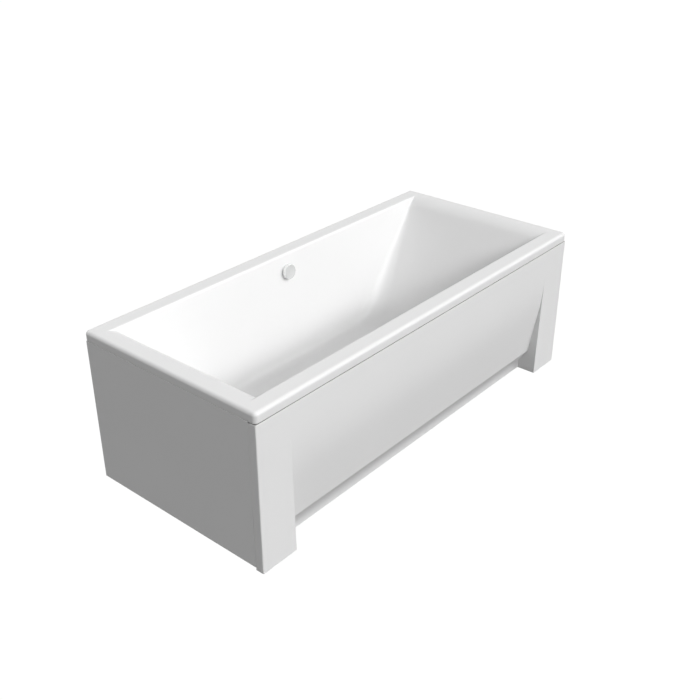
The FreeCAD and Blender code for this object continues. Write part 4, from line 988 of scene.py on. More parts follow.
@dataclass
class TubShell(SubAssembly):
    """Acrylic tub and the glass-fibre layer under it, as closed shells of rings."""

    wall: float = 0.005
    backing: float = 0.0025
    rim_corner: float = 0.015
    rim_edge: float = 0.013
    corner_top: float = 0.004
    corner_low: float = 0.085
    least_corner: float = 0.0015
    waste_hole: float = 0.026
    overflow_hole: float = 0.026
    lip_ease: float = 0.001
    lip_chamfer: float = 0.0003
    support: float = 0.0015
    corner_steps: int = 14
    long_steps: int = 30
    short_steps: int = 14
    edge_steps: int = 8
    side_steps: tuple[int, int] = (8, 14)
    end_steps: tuple[int, int] = (44, 16)
    slope_steps: int = 12
    least_step: float = 0.00004
    floor_shares: tuple[float, ...] = (0.005, 0.25, 0.5, 0.75)

    def ring(self, half_x: float, half_y: float, radius: float, z: float) -> np.ndarray:
        """Points round a rectangle with rounded corners.

        Args:
            half_x: Half its length.
            half_y: Half its width.
            radius: Radius of its corners.
            z: Height.

        Returns:
            One row for each point.
        """
        points: list[Triple] = []
        arc = [QUARTER * k / self.corner_steps for k in range(self.corner_steps + 1)]
        for quarter, (sx, sy) in enumerate(((1, 1), (-1, 1), (-1, -1), (1, -1))):
            x, y = sx * (half_x - radius), sy * (half_y - radius)
            for angle in arc:
                way = quarter * QUARTER + angle
                points.append((x + radius * math.cos(way), y + radius * math.sin(way), z))
            last = Vector(points[-1])
            if quarter % 2 == 0:
                steps, ahead = self.long_steps, Vector((-x, last.y, z))
            else:
                steps, ahead = self.short_steps, Vector((last.x, -y, z))
            points += [tuple(last.lerp(ahead, k / steps)) for k in range(1, steps)]
        return np.array(points)

    def hole_ring(self, radius: float, z: float) -> np.ndarray:
        """Circle with the order of the basin's rings, spaced by the floor's outline.

        Args:
            radius: The circle's radius.
            z: Height.

        Returns:
            One row for each point.
        """
        half_x, half_y = END_WALL.reach(FLOOR_TOP), SIDE_WALL.reach(FLOOR_TOP)
        outline = self.ring(half_x, half_y, self.corner(FLOOR_TOP, 0.0), z)
        return circle(radius, np.arctan2(outline[:, 1] / half_y, outline[:, 0] / half_x), z)

    def corner(self, z: float, offset: float) -> float:
        """Plan radius of the basin's corners.

        Args:
            z: Height.
            offset: How far the surface is moved into the material.

        Returns:
            The radius.
        """
        foot = SIDE_WALL.foot_start(offset)
        low = max(z, foot)
        share = (RIM_HEIGHT - low) / (RIM_HEIGHT - foot)
        radius = self.corner_top + (self.corner_low - self.corner_top) * share + offset
        if z < foot:
            radius -= SIDE_WALL.reach(low, offset) - SIDE_WALL.reach(z, offset)
        return radius

    def basin_ring(self, z: float, offset: float) -> np.ndarray:
        """Ring round the basin at one height."""
        half_x, half_y = END_WALL.reach(z, offset), SIDE_WALL.reach(z, offset)
        return self.ring(half_x, half_y, self.corner(z, offset), z)

    def basin_rings(self, offset: float) -> list[np.ndarray]:
        """Rings down the basin's surface, from the deck to the waste hole.

        Args:
            offset: How far the surface is moved into the material.

        Returns:
            The rings from top to bottom.
        """
        top, bottom = RIM_HEIGHT - offset, FLOOR_TOP - offset
        slope_ends = END_WALL.roll_end(offset), SIDE_WALL.foot_start(offset)
        heights = [
            *SIDE_WALL.levels(offset, *self.side_steps),
            *END_WALL.levels(offset, *self.end_steps),
            *np.linspace(*slope_ends, self.slope_steps)[1:-1],
        ]
        levels = sorted({round(z, 6) for z in heights if bottom <= z <= top}, reverse=True)
        kept = [levels[0]]
        for z in levels[1:]:
            if kept[-1] - z > self.least_step:
                kept.append(z)
        rings = [self.basin_ring(z, offset) for z in kept]
        floor, hole = rings[-1], self.hole_ring(self.waste_hole, bottom)
        return [*rings, *(floor + (hole - floor) * share for share in self.floor_shares), hole]

    def deck_ring(self, inset: float, z: float, radius: float) -> np.ndarray:
        """Ring parallel to the rim's outer edge."""
        return self.ring(HALF_LENGTH - inset, HALF_WIDTH - inset, radius, z)

    def deck_bridge(self, z: float, offset: float) -> np.ndarray:
        """Ring on the deck just outside the basin's edge, which keeps the deck flat.

        Args:
            z: Height.
            offset: How far the surface is moved into the material.

        Returns:
            One row for each point.
        """
        corner = self.corner(RIM_HEIGHT, 0.0) + offset + self.support
        half_x, half_y = END_WALL.deck_edge + self.support, SIDE_WALL.deck_edge + self.support
        return self.ring(half_x, half_y, corner, z)

    def rounded_edge(self, inset: float, edge: float, top: float) -> list[np.ndarray]:
        """Rings over the rim's rounded outer edge, from its side up to its top.

        Args:
            inset: Distance of the side in from the tub's outermost face.
            edge: Radius of the rounding.
            top: Height of the flat top.

        Returns:
            The rings.
        """
        rings = []
        for k in range(self.edge_steps + 1):
            angle = QUARTER * k / self.edge_steps
            inward = edge * (1 - math.cos(angle))
            z = top - edge + edge * math.sin(angle)
            corner = max(self.rim_corner - inset - inward, self.least_corner)
            rings.append(self.deck_ring(inset + inward, z, corner))
        return rings

    def closed_shell(self, name: str, rings: list[np.ndarray]) -> bpy.types.Mesh:
        """Mesh of a loop of rings."""
        return mesh_of(name, np.vstack(rings), strip_faces(len(rings), len(rings[0]), True))

    def acrylic_mesh(self) -> bpy.types.Mesh:
        """Rings of the tub: lip, rim, basin, and the same again on the inside of the sheet.

        Returns:
            The mesh.
        """
        t, ease, chamfer, corner = self.wall, self.lip_ease, self.lip_chamfer, self.rim_corner
        outer = [
            self.deck_ring(ease, LIP_BOTTOM, corner - ease),
            self.deck_ring(chamfer, LIP_BOTTOM + chamfer, corner - chamfer),
            self.deck_ring(0.0, LIP_BOTTOM + ease, corner),
            *self.rounded_edge(0.0, self.rim_edge, RIM_HEIGHT),
            self.deck_ring(self.rim_edge + self.support, RIM_HEIGHT, self.least_corner),
            self.deck_bridge(RIM_HEIGHT, 0.0),
        ]
        inner = [
            *reversed(self.basin_rings(t)),
            self.deck_bridge(RIM_HEIGHT - t, t),
            *reversed(self.rounded_edge(t, self.rim_edge - t, RIM_HEIGHT - t)),
            self.deck_ring(t, LIP_BOTTOM + ease, corner - t),
            self.deck_ring(t - chamfer, LIP_BOTTOM, corner - t),
        ]
        return self.closed_shell("bath acrylic", outer + self.basin_rings(0.0) + inner)

    def backing_mesh(self) -> bpy.types.Mesh:
        """Rings of the glass-fibre layer: down its upper side and up its lower side.

        Returns:
            The mesh.
        """
        upper, lower = self.wall, self.wall + self.backing
        edge = self.wall + self.rim_edge
        rings = [
            self.deck_ring(edge, RIM_HEIGHT - upper, self.rim_corner),
            self.deck_bridge(RIM_HEIGHT - upper, upper),
            *self.basin_rings(upper),
            *reversed(self.basin_rings(lower)),
            self.deck_bridge(RIM_HEIGHT - lower, lower),
            self.deck_ring(edge, RIM_HEIGHT - lower, self.rim_corner),
        ]
        return self.closed_shell("glass fibre", rings)

    def cut_overflow(self, made: bpy.types.Object) -> None:
        """Cut the overflow's round hole through the back wall.

        Args:
            made: The shell.
        """
        name, length, pin, r = "overflow cutter", 0.06, 1e-5, self.overflow_hole
        tool = turned(name, [(pin, -length), (r, -length), (r, length), (pin, length)], 64)
        tool.transform(on_back_wall())
        cut_away(made, object_from(name, tool, self.finishes.slots["acrylic"]))

    def build(self) -> None:
        """Make both shells and put them in place of their solids."""
        for node, name, make in (
            ("bath_shell", "bath_shell_formed", self.acrylic_mesh),
            ("glass_fibre_backing", "glass_fibre_backing_sprayed", self.backing_mesh),
        ):
            made = object_from(name, make(), self.finishes.slots[self.slot(node)])
            self.cut_overflow(made)
            flat_faces_first(made)
            self.place(made, node)


# ---------------------------------------------------------------- solids that keep their shape


@dataclass
class KeptSolids(SubAssembly):
    """Solids whose shape is right: merged, smoothed and eased copies with their finish."""

    across: tuple[str, ...] = ("rim_batten_left", "rim_batten_right")
    widths: dict[str, float] = field(
        default_factory=lambda: {
            "rim_batten_front": 0.0015,
            "rim_batten_back": 0.0015,
            "rim_batten_left": 0.0015,
            "rim_batten_right": 0.0015,
            "base_board": 0.0006,
            "cradle_rail_left": 0.0006,
            "cradle_rail_right": 0.0006,
            "plinth_brackets": 0.0006,
            "wall_bracket_left": 0.0006,
            "wall_bracket_right": 0.0006,
            "panel_clips_left": 0.0004,
        }
    )

    def build(self) -> None:
        """Dress every solid that no finer piece stands for."""
        for name, node in self.frame["nodes"].items():
            if name in self.done:
                continue
            width = self.widths.get(name, 0.0)
            mesh = merged_copy(node, f"{name} skin", dissolve=width > 0)
            material = self.finishes.slots[self.slot(name)]
            if name in self.across:
                material = self.finishes.softwood_across
            made = object_from(f"{name}_finished", mesh, material)
            if width > 0:
                eased(made, width, 2, limit_method="ANGLE", angle_limit=SMOOTH_ANGLE)
            self.place(made, name)


# ---------------------------------------------------------------- panels


@dataclass
class Panels(SubAssembly):
    """Front and end panels with rounded outer edges, which catch the light."""

    radius: float = 0.0015
    near: float = 0.0006
    return_depth: float = 0.033
    thin: float = 0.1
    leg_side: Span = (0.72, 0.80)
    square: float = 0.9
    slanted: float = 0.3

    def is_shown(self, face: bmesh.types.BMFace, box: tuple[Vector, Vector]) -> bool:
        """Whether a face belongs to the panel's outer side.

        Args:
            face: The face.
            box: Least and greatest corner of the panel.

        Returns:
            True for the outer side and the rims.
        """
        (low, high), square = box, self.square
        centre, normal = face.calc_center_median(), face.normal
        if normal.y < -self.slanted and high.x > 0:
            return True
        for axis in range(3):
            if normal[axis] < -square and centre[axis] < low[axis] + self.near:
                return True
            thick = high[axis] - low[axis] > self.thin
            if thick and normal[axis] > square and centre[axis] > high[axis] - self.near:
                return True
        if high.x < 0:
            return False
        inner, outer = self.leg_side
        inward = abs(normal.x) > square and normal.x * centre.x < 0
        if inward and inner < abs(centre.x) < outer:
            return True
        seam = low.y + self.return_depth
        return normal.y > square and abs(centre.y - seam) < self.near and abs(centre.x) > outer

    def rounded(self, node: bpy.types.Object, name: str) -> bpy.types.Mesh:
        """Merged copy of a panel with its outer edges marked for rounding.

        Args:
            node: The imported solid.
            name: The new mesh's name.

        Returns:
            The mesh, with an edge weight of 1 on the outer edges.
        """
        mesh = merged_copy(node, name, dissolve=True)
        points = np.array([v.co for v in mesh.vertices])
        box = (Vector(points.min(axis=0)), Vector(points.max(axis=0)))
        body = bmesh.new()
        body.from_mesh(mesh)
        weight = body.edges.layers.float.new("bevel_weight_edge")
        shown = {face.index: self.is_shown(face, box) for face in body.faces}
        for edge in body.edges:
            faces = edge.link_faces
            sharp = len(faces) == 2 and edge.calc_face_angle_signed() > SMOOTH_ANGLE
            if sharp and all(shown[face.index] for face in faces):
                edge[weight] = 1.0
        body.to_mesh(mesh)
        body.free()
        return mesh

    def paint_gap_shade(self, mesh: bpy.types.Mesh) -> None:
        """Paint the top flange, hidden under the rim, dark: painted shade in the gap between the
        rim and the panel.

        Args:
            mesh: The panel.
        """
        # the dark material on the flange's top faces is painted shade for the gap under the rim
        mesh.materials.append(self.finishes.gap_shade_acrylic)
        top = max(vertex.co.z for vertex in mesh.vertices) - self.near
        for face in mesh.polygons:
            if face.normal.z > self.square and face.center.z > top:
                face.material_index = 1

    def build(self) -> None:
        """Make both panels."""
        for node in ("front_panel", "end_panel"):
            mesh = self.rounded(self.frame["nodes"][node], f"{node} skin")
            made = object_from(f"{node}_moulded", mesh, self.finishes.slots[self.slot(node)])
            eased(made, self.radius, 3, limit_method="WEIGHT", use_clamp_overlap=False)
            self.paint_gap_shade(made.data)
            self.place(made, node)


# ---------------------------------------------------------------- threads, nuts and screws


def hexagon_reach(across: float, limit: float, angle: float) -> float:
    """Distance from the middle of a hexagon, one corner along X, to its edge.

    Args:
        across: Width across the flats.
        limit: Greatest distance, which eases the corners.
        angle: Direction.

    Returns:
        The distance.
    """
    third = math.pi / 3
    return min(across / 2 / math.cos(angle % third - third / 2), limit)


@dataclass(frozen=True)
class Thread:
    """Outside screw thread with flattened crests."""

    radius: float
    pitch: float
    depth: float
    around: int = 32
    per_turn: int = 7
    steepness: float = 1.3
    flat: float = 0.15

    def reach(self, z: float, angle: float) -> float:
        """Radius of the thread's surface at one place.

        Args:
            z: Height.
            angle: Direction.

        Returns:
            The radius.
        """
        phase = (z / self.pitch - angle / (2 * math.pi)) % 1.0
        flank = min(max(abs(2 * phase - 1) * self.steepness - self.flat, 0.0), 1.0)
        return self.radius - self.depth * flank

    def heights(self, low: float, high: float) -> list[float]:
        """Even heights, close enough together to follow the thread."""
        count = max(2, math.ceil((high - low) / self.pitch * self.per_turn))
        return [low + (high - low) * k / count for k in range(count + 1)]


@dataclass
class StackedRod:
    """Closed rod made of rings whose radius may change with height and direction."""

    around: int
    rings: list[list[Triple]] = field(default_factory=list)

    def add(self, z: float, reach: float | Callable[[float], float]) -> None:
        """Add one ring.

        Args:
            z: Height.
            reach: Radius, or the rule that gives it for a direction.
        """
        ring = []
        for k in range(self.around):
            angle = 2 * math.pi * k / self.around
            radius = reach(angle) if callable(reach) else reach
            ring.append((radius * math.cos(angle), radius * math.sin(angle), z))
        self.rings.append(ring)

    def add_thread(self, thread: Thread, low: float, high: float) -> None:
        """Add a threaded length."""
        for z in thread.heights(low, high):
            self.add(z, partial(thread.reach, z))

    def add_hexagon(self, low: float, high: float, across: float) -> None:
        """Add a hexagonal length with eased corners, and the steps at its ends.

        Args:
            low: Height of its lower end.
            high: Height of its upper end.
            across: Width across the flats.
        """
        flat, corner = across / 2, across / math.sqrt(3)
        ease = corner - flat
        drop = ease * math.tan(math.radians(30))
        for z, limit in (
            (low, flat),
            (low + drop * 0.5, flat + ease * 0.5),
            (low + drop, corner),
            (high - drop, corner),
            (high - drop * 0.5, flat + ease * 0.5),
            (high, flat),
        ):
            self.add(z, partial(hexagon_reach, across, limit))

    def mesh(self, name: str, bore: float = 0.0) -> bpy.types.Mesh:
        """Mesh of the rod, or of a ring when it has a bore.

        Args:
            name: The mesh's name.
            bore: Radius of the hole through it, or 0.

        Returns:
            The mesh.
        """
        around, bottom, top = self.around, self.rings[0][0][2], self.rings[-1][0][2]
        if bore:
            self.add(top, bore)
            self.add(bottom, bore)
        points = [point for ring in self.rings for point in ring]
        faces = list(strip_faces(len(self.rings), around, bool(bore)))
        if not bore:
            for first, height in ((0, bottom), (len(points) - around, top)):
                middle = len(points)
                points.append((0.0, 0.0, height))
                faces += [(first + k, first + (k + 1) % around, middle) for k in range(around)]
        return mesh_of(name, np.array(points), faces)


@dataclass(frozen=True)
class PanHeadScrew:
    """Wood screw pointing up, its pan head below with a cross recess."""

    head: float
    head_height: float
    shank: float
    length: float
    pitch: float = 0.0018
    around: int = 32
    core: float = 0.8
    thread_depth: float = 0.28
    tip: float = 0.18
    recess: Triple = (0.5, 0.13, 0.55)
    recess_taper: float = 0.6
    head_shape: Profile = (
        (0.55, 0.0),
        (0.8, 0.06),
        (0.93, 0.2),
        (0.99, 0.42),
        (1.0, 0.6),
        (1.0, 0.94),
        (0.97, 1.0),
    )
    tip_shape: Profile = ((0.4, 0.52), (0.8, 0.26), (1.0, 0.05))

    def mesh(self, name: str) -> bpy.types.Mesh:
        """Screw with the face that bears on the work at Z = 0.

        Args:
            name: The mesh's name.

        Returns:
            The mesh.
        """
        rod = StackedRod(self.around)
        for share, rise in self.head_shape:
            rod.add(-self.head_height + self.head_height * rise, self.head * share)
        thread = Thread(self.shank, self.pitch, self.shank * self.thread_depth, self.around)
        tip = self.length * self.tip
        rod.add(0.0, self.shank * self.core)
        rod.add(self.pitch * 0.5, self.shank * self.core)
        rod.add_thread(thread, self.pitch * 0.6, self.length - tip)
        for share, radius in self.tip_shape:
            rod.add(self.length - tip + tip * share, self.shank * radius)
        return self.recessed(linked(name, rod.mesh(name)))

    def recessed(self, made: bpy.types.Object) -> bpy.types.Mesh:
        """Cut the cross recess into the head.

        Args:
            made: The screw.

        Returns:
            Its mesh, with the object itself removed.
        """
        tool = bpy.data.meshes.new("cross")
        body = bmesh.new()
        arm, wide, deep = self.recess
        size = (2 * (self.head * arm), 2 * (self.head * wide), 2 * (self.head_height * deep), 1)
        for turn in (0.0, QUARTER):
            place = Matrix.Translation((0, 0, -self.head_height)) @ Matrix.Rotation(turn, 4, "Z")
            cube = bmesh.ops.create_cube(body, size=1.0, matrix=place @ Matrix.Diagonal(size))
            for vertex in cube["verts"]:
                if vertex.co.z > -self.head_height:
                    centre = Vector((0, 0, vertex.co.z))
                    vertex.co = centre + (vertex.co - centre) * self.recess_taper
        body.to_mesh(tool)
        body.free()
        cut_away(made, linked("cross", tool), use_self=True)
        mesh = made.data
        bpy.data.objects.remove(made)
        smooth(mesh)
        return mesh


@dataclass
class Block:
    """Places of a piece's copies, in rows and columns."""

    start: Vector
    rows: int
    row_step: Vector
    columns: int = 1
    column_step: Vector = field(default_factory=Vector)


@dataclass
class Fasteners(SubAssembly):
    """Rows of screws, nuts and bolts, each row set out by one node tree."""

    screw: PanHeadScrew = PanHeadScrew(0.004, 0.0022, 0.002, 0.016)
    bracket_screw: PanHeadScrew = PanHeadScrew(0.004, 0.0022, 0.002, 0.007)
    half_clip: float = 0.020
    front_clips: int = 5
    left_clips: int = 3
    nut_width: float = 0.019
    nut_sides: int = 72
    thread_nut: float = 0.010
    lock_nut: float = 0.006
    stud: float = 0.00608
    corner_bolts: int = 3
    corner_nut: float = 0.010
    corner_bore: float = 0.00308
    corner_head: float = 0.005
    corner_head_height: float = 0.004
    corner_head_shape: Profile = ((0.6, 0.0), (0.85, 0.1), (0.96, 0.28), (1.0, 0.55), (1.0, 1.0))
    corner_length: float = 0.0206
    corner_thread: Thread = Thread(0.003, 0.001, 0.00045, 36, 6)
    thread_start: float = 0.0002
    bolt_tip: float = 0.0006
    bolt_tip_radius: float = 0.0022
    tree: GeometryTree = field(default_factory=repeat_tree)

    def row(self, node: str, piece: bpy.types.Mesh, *blocks: Block) -> None:
        """Set out copies of one piece and put them in place of a node.

        Args:
            node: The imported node.
            piece: Mesh of one piece about its own origin.
            *blocks: Places of the copies.
        """
        material = self.finishes.slots[self.slot(node)]
        parts = []
        for block in blocks:
            made = object_from(f"{node}_finished", piece.copy(), material)
            self.tree.attach(
                made,
                Start=block.start,
                Row_Count=block.rows,
                Row_Step=block.row_step,
                Column_Count=block.columns,
                Column_Step=block.column_step,
                Material=material,
            )
            applied(made)
            parts.append(made)
        whole = parts[0]
        if len(parts) > 1:
            body = bmesh.new()
            for part in parts:
                body.from_mesh(part.data)
            body.to_mesh(whole.data)
            body.free()
            for part in parts[1:]:
                bpy.data.objects.remove(part)
        smooth(whole.data)
        self.place(whole, node)

    def block(self, node: str, radius: float, columns: int, rows: int, base: float) -> Block:
        """Grid of places, worked out from the box of a node's solids.

        Args:
            node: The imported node.
            radius: Radius of one piece.
            columns: Pieces along X.
            rows: Pieces along Y.
            base: Height of the pieces' origin.

        Returns:
            The places.
        """
        low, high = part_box(node)
        across = (high[0] - low[0] - 2 * radius) / max(columns - 1, 1)
        along = (high[1] - low[1] - 2 * radius) / max(rows - 1, 1)
        start = Vector((low[0] + radius, low[1] + radius, base))
        return Block(start, rows, Vector((0, along, 0)), columns, Vector((across, 0, 0)))

    def nut(self, name: str, width: float, height: float, bore: float) -> bpy.types.Mesh:
        """Hexagonal nut standing on Z = 0.

        Args:
            name: The mesh's name.
            width: Width across the flats.
            height: Height.
            bore: Radius of its hole.

        Returns:
            The mesh.
        """
        rod = StackedRod(self.nut_sides)
        rod.add_hexagon(0.0, height, width)
        return rod.mesh(name, bore)

    def corner_bolt(self) -> bpy.types.Mesh:
        """Round-headed machine bolt along Z, its head below Z = 0.

        Returns:
            The mesh.
        """
        thread, height = self.corner_thread, self.corner_head_height
        rod = StackedRod(thread.around)
        for share, rise in self.corner_head_shape:
            rod.add(-height + height * rise, self.corner_head * share)
        rod.add(0.0, thread.radius)
        rod.add_thread(thread, self.thread_start, self.corner_length - height - self.bolt_tip)
        rod.add(self.corner_length - height, self.bolt_tip_radius)
        return rod.mesh("corner bolt")

    def board_and_clip_screws(self) -> None:
        """Screws of the rails, of the plinth brackets and of the panel clips."""
        screw, radius = self.screw.mesh("pan-head screw"), self.screw.head
        short = self.bracket_screw.mesh("short screw")
        for node, mesh, rows in (("rail_screws", screw, 4), ("bracket_screws", short, 1)):
            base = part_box(node)[0][2] + self.screw.head_height
            self.row(node, mesh, self.block(node, radius, 2, rows, base))
        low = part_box("clip_screws")[0]
        front_low, front_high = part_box("panel_clips_front")
        left_low, left_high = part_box("panel_clips_left")
        half, base = self.half_clip, low[2] + self.screw.head_height
        front_step = (front_high[0] - front_low[0] - 2 * half) / (self.front_clips - 1)
        left_step = (left_high[1] - left_low[1] - 2 * half) / (self.left_clips - 1)
        front = Vector((front_low[0] + half, low[1] + radius, base))
        left = Vector((low[0] + radius, left_low[1] + half, base))
        self.row(
            "clip_screws",
            screw,
            Block(front, self.front_clips, Vector((front_step, 0, 0))),
            Block(left, self.left_clips, Vector((0, left_step, 0))),
        )

    def foot_nuts(self) -> None:
        """Nuts on the studs of the feet."""
        flat, corner = self.nut_width / 2, self.nut_width / math.sqrt(3)
        for node, height in (("thread_nuts", self.thread_nut), ("lock_nuts", self.lock_nut)):
            low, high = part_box(node)
            block = self.block(node, corner, 2, 2, low[2])
            block.start.y = low[1] + flat
            block.row_step.y = high[1] - low[1] - 2 * flat
            self.row(node, self.nut(node, self.nut_width, height, self.stud), block)

    def corner_pieces(self) -> None:
        """Bolts and nuts that join the two panels, lying along Y."""
        height = self.corner_head_height
        nut = self.nut("corner nut", self.corner_nut, height, self.corner_bore)
        for node, mesh, reach, base in (
            ("corner_bolts", self.corner_bolt(), self.corner_head, height),
            ("corner_nuts", nut, self.corner_nut / 2, 0.0),
        ):
            mesh.transform(Matrix.Rotation(-QUARTER, 4, "X"))
            low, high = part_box(node)
            start = Vector(((low[0] + high[0]) / 2, low[1] + base, low[2] + reach))
            step = (high[2] - low[2] - 2 * reach) / (self.corner_bolts - 1)
            self.row(node, mesh, Block(start, self.corner_bolts, Vector((0, 0, step))))

    def build(self) -> None:
        """Make all rows."""
        self.board_and_clip_screws()
        self.foot_nuts()
        self.corner_pieces()


@dataclass
class Feet(SubAssembly):
    """Adjustable feet: threaded studs and turned plastic pads."""

    pad_radius: float = 0.024
    pad_ease: float = 0.001
    pad_bevel: float = 0.0008
    pad_steps: int = 72
    neck: float = 0.011
    base_height: float = 0.007
    pad_height: float = 0.022
    sole: float = 0.008
    bore: float = 0.00608
    thread: Thread = Thread(0.006, 0.00175, 0.00105)
    stud_slot: str = "zinc_steel"
    stud_ease: float = 0.0006
    run_out: float = 0.0004
    chamfer: float = 0.001
    collar_width: float = 0.017
    collar_height: float = 0.008
    seat: float = 0.0003
    step: float = 0.00001

    def pad(self) -> bpy.types.Mesh:
        """Turned pad with a rounded sole, standing on Z = 0.

        Returns:
            The mesh.
        """
        r, ease = self.pad_radius, self.pad_ease
        profile = [
            (PINHOLE, 0.0),
            (r - ease, 0.0),
            (r, ease),
            (r, self.base_height),
            (self.neck, self.pad_height),
            (self.bore, self.pad_height),
            (self.bore, self.sole),
            (PINHOLE, self.sole),
        ]
        return turned("foot pad", bevelled(profile, self.pad_bevel), self.pad_steps)

    def stud(self, low: float, high: float) -> bpy.types.Mesh:
        """Threaded stud with a hexagonal collar.

        Args:
            low: Height of its lower end.
            high: Height of its upper end.

        Returns:
            The mesh.
        """
        radius, core = self.thread.radius, self.thread.radius - self.thread.depth
        collar = self.pad_height + self.seat
        collar_top = collar + self.collar_height
        rod = StackedRod(self.thread.around * 3)
        rod.add(low, radius - self.stud_ease)
        rod.add(low + self.stud_ease, radius)
        rod.add(collar - self.step, radius)
        rod.add_hexagon(collar, collar_top, self.collar_width)
        rod.add(collar_top + self.step, core)
        rod.add_thread(self.thread, collar_top + self.run_out, high - self.chamfer)
        rod.add(high, core)
        return rod.mesh("foot stud")

    def build(self) -> None:
        """Make the four feet."""
        for corner in ("front_left", "front_right", "back_left", "back_right"):
            for kind in ("foot_pad", "foot_stud"):
                node = f"{kind}_{corner}"
                low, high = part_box(node)
                if kind == "foot_pad":
                    mesh, slot = self.pad(), self.slot(node)
                else:
                    mesh, slot = self.stud(low[2], high[2]), self.stud_slot
                middle = ((low[0] + high[0]) / 2, (low[1] + high[1]) / 2, 0.0)
                mesh.transform(Matrix.Translation(middle))
                made = object_from(f"{node}_finished", mesh, self.finishes.slots[slot])
                self.place(made, node, slot)


# ---------------------------------------------------------------- overflow


@dataclass(frozen=True)
class Route:
    """Smooth path through a few guiding points."""

    points: tuple[Triple, ...]

    def curve(self, name: str) -> bpy.types.Object:
        """Build the path as a curve object.

        Args:
            name: The curve's name.

        Returns:
            The linked curve.
        """
        data = bpy.data.curves.new(name, "CURVE")
        data.dimensions = "3D"
        spline = data.splines.new("NURBS")
        spline.points.add(len(self.points) - 1)
        for point, place in zip(spline.points, self.points):
            point.co = (*place, 1.0)
        spline.order_u = 3
        spline.resolution_u = 48
        spline.use_endpoint_u = True
        return linked(name, data)


@dataclass
class Lines(SubAssembly):
    """Ribbed overflow hose and the sheathed cable, between the overflow and the waste."""

    hose: Route = Route(
        (
            (0.0, 0.3535, 0.4890),
            (0.0, 0.3280, 0.2040),
            (0.0, 0.3174, 0.0845),
            (0.0, 0.1974, 0.0845),
            (0.0, 0.0393, 0.0845),
        )
    )
    cable: Route = Route(
        (
            (0.0225, 0.3692, 0.4879),
            (0.0225, 0.3466, 0.2345),
            (0.0225, 0.3359, 0.1150),
            (0.0131, 0.2163, 0.1150),
            (0.0, 0.0640, 0.1150),
            (0.0, 0.0390, 0.1150),
        )
    )
    hose_radius: float = 0.013
    rib_depth: float = 0.0013
    rib_pitch: float = 0.0042
    rib_step: float = 0.0007
    hose_sides: int = 36
    cable_radius: float = 0.0024
    cable_step: float = 0.003
    cable_sides: int = 20
    crease: float = math.radians(60)
    tree: GeometryTree = field(default_factory=corrugated_tree)

    def line(self, node: str, route: Route, **sizes: object) -> None:
        """Make one line and put it in place of its solid.

        Args:
            node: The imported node.
            route: The line's path.
            **sizes: Inputs of the node tree.
        """
        curve = route.curve(f"{node} route")
        material = self.finishes.slots[self.slot(node)]
        self.tree.attach(curve, Rib_Pitch=self.rib_pitch, Material=material, **sizes)
        mesh = evaluated(curve)
        bpy.data.objects.remove(curve)
        smooth(mesh, self.crease)
        self.place(object_from(f"{node}_finished", mesh, material), node)

    def build(self) -> None:
        """Make both lines."""
        self.line(
            "overflow_hose",
            self.hose,
            Radius=self.hose_radius,
            Rib_Depth=self.rib_depth,
            Step=self.rib_step,
            Sides=self.hose_sides,
        )
        self.line(
            "bowden_cable",
            self.cable,
            Radius=self.cable_radius,
            Rib_Depth=0.0,
            Step=self.cable_step,
            Sides=self.cable_sides,
        )


@dataclass
class Overflow(SubAssembly):
    """Chrome cap on the back wall."""

    knob_radius: float = 0.030
    stand_off: float = 0.006
    depth: float = 0.012
    wall: float = 0.0025
    socket: float = 0.008
    spindle: float = 0.004
    edge: float = 0.003
    edge_bulge: float = 0.0009
    dish_rim: Span = (0.006, 0.0004)
    dish_depth: float = 0.0007
    bevel: float = 0.0006
    sides: int = 96

    def cap(self) -> bpy.types.Mesh:
        """Turned cap: slightly dished face, rounded rim, hollow back with a spindle socket.

        Returns:
            The mesh.
        """
        low, top = self.stand_off, self.stand_off + self.depth
        r, inner = self.knob_radius, top - self.wall
        dish, fall = self.dish_rim
        profile = [
            (self.spindle, inner),
            (self.spindle, low),
            (self.socket, low),
            (self.socket, inner),
            (r - self.wall, inner),
            (r - self.wall, low),
            (r, low),
            (r, top - self.edge),
            (r - self.edge_bulge, top - self.edge_bulge),
            (r - self.edge, top),
            (r - dish, top - fall),
            (PINHOLE, top - self.dish_depth),
            (PINHOLE, inner),
        ]
        return turned("overflow cap", bevelled(profile, self.bevel), self.sides)

    def build(self) -> None:
        """Make the cap."""
        mesh = self.cap()
        mesh.transform(on_back_wall())
        made = object_from("overflow_knob_turned", mesh, self.finishes.bright_chrome)
        self.place(made, "overflow_knob")


# ---------------------------------------------------------------- studio


def aimed(made: bpy.types.Object, place: Vector, way: Vector) -> None:
    """Put a lamp or a camera at a place and point it one way.

    Args:
        made: The lamp or the camera.
        place: Where it stands.
        way: Where it points.
    """
    made.location = place
    made.rotation_mode = "QUATERNION"
    made.rotation_quaternion = way.to_track_quat("-Z", "Y")


@dataclass(frozen=True)
class SoftLight:
    """Broad light from far away."""

    name: str
    azimuth: float
    height: float
    strength: float
    angle: float

    def build(self, distance: float) -> None:
        """Set up the light.

        Args:
            distance: How far out the lamp stands.
        """
        data = bpy.data.lights.new(self.name, "SUN")
        data.angle = math.radians(self.angle)
        data.energy = self.strength
        turn, rise = math.radians(self.azimuth), math.radians(self.height)
        level = math.cos(rise)
        toward = Vector((math.sin(turn) * level, -math.cos(turn) * level, math.sin(rise)))
        aimed(linked(self.name, data), toward * distance, -toward)


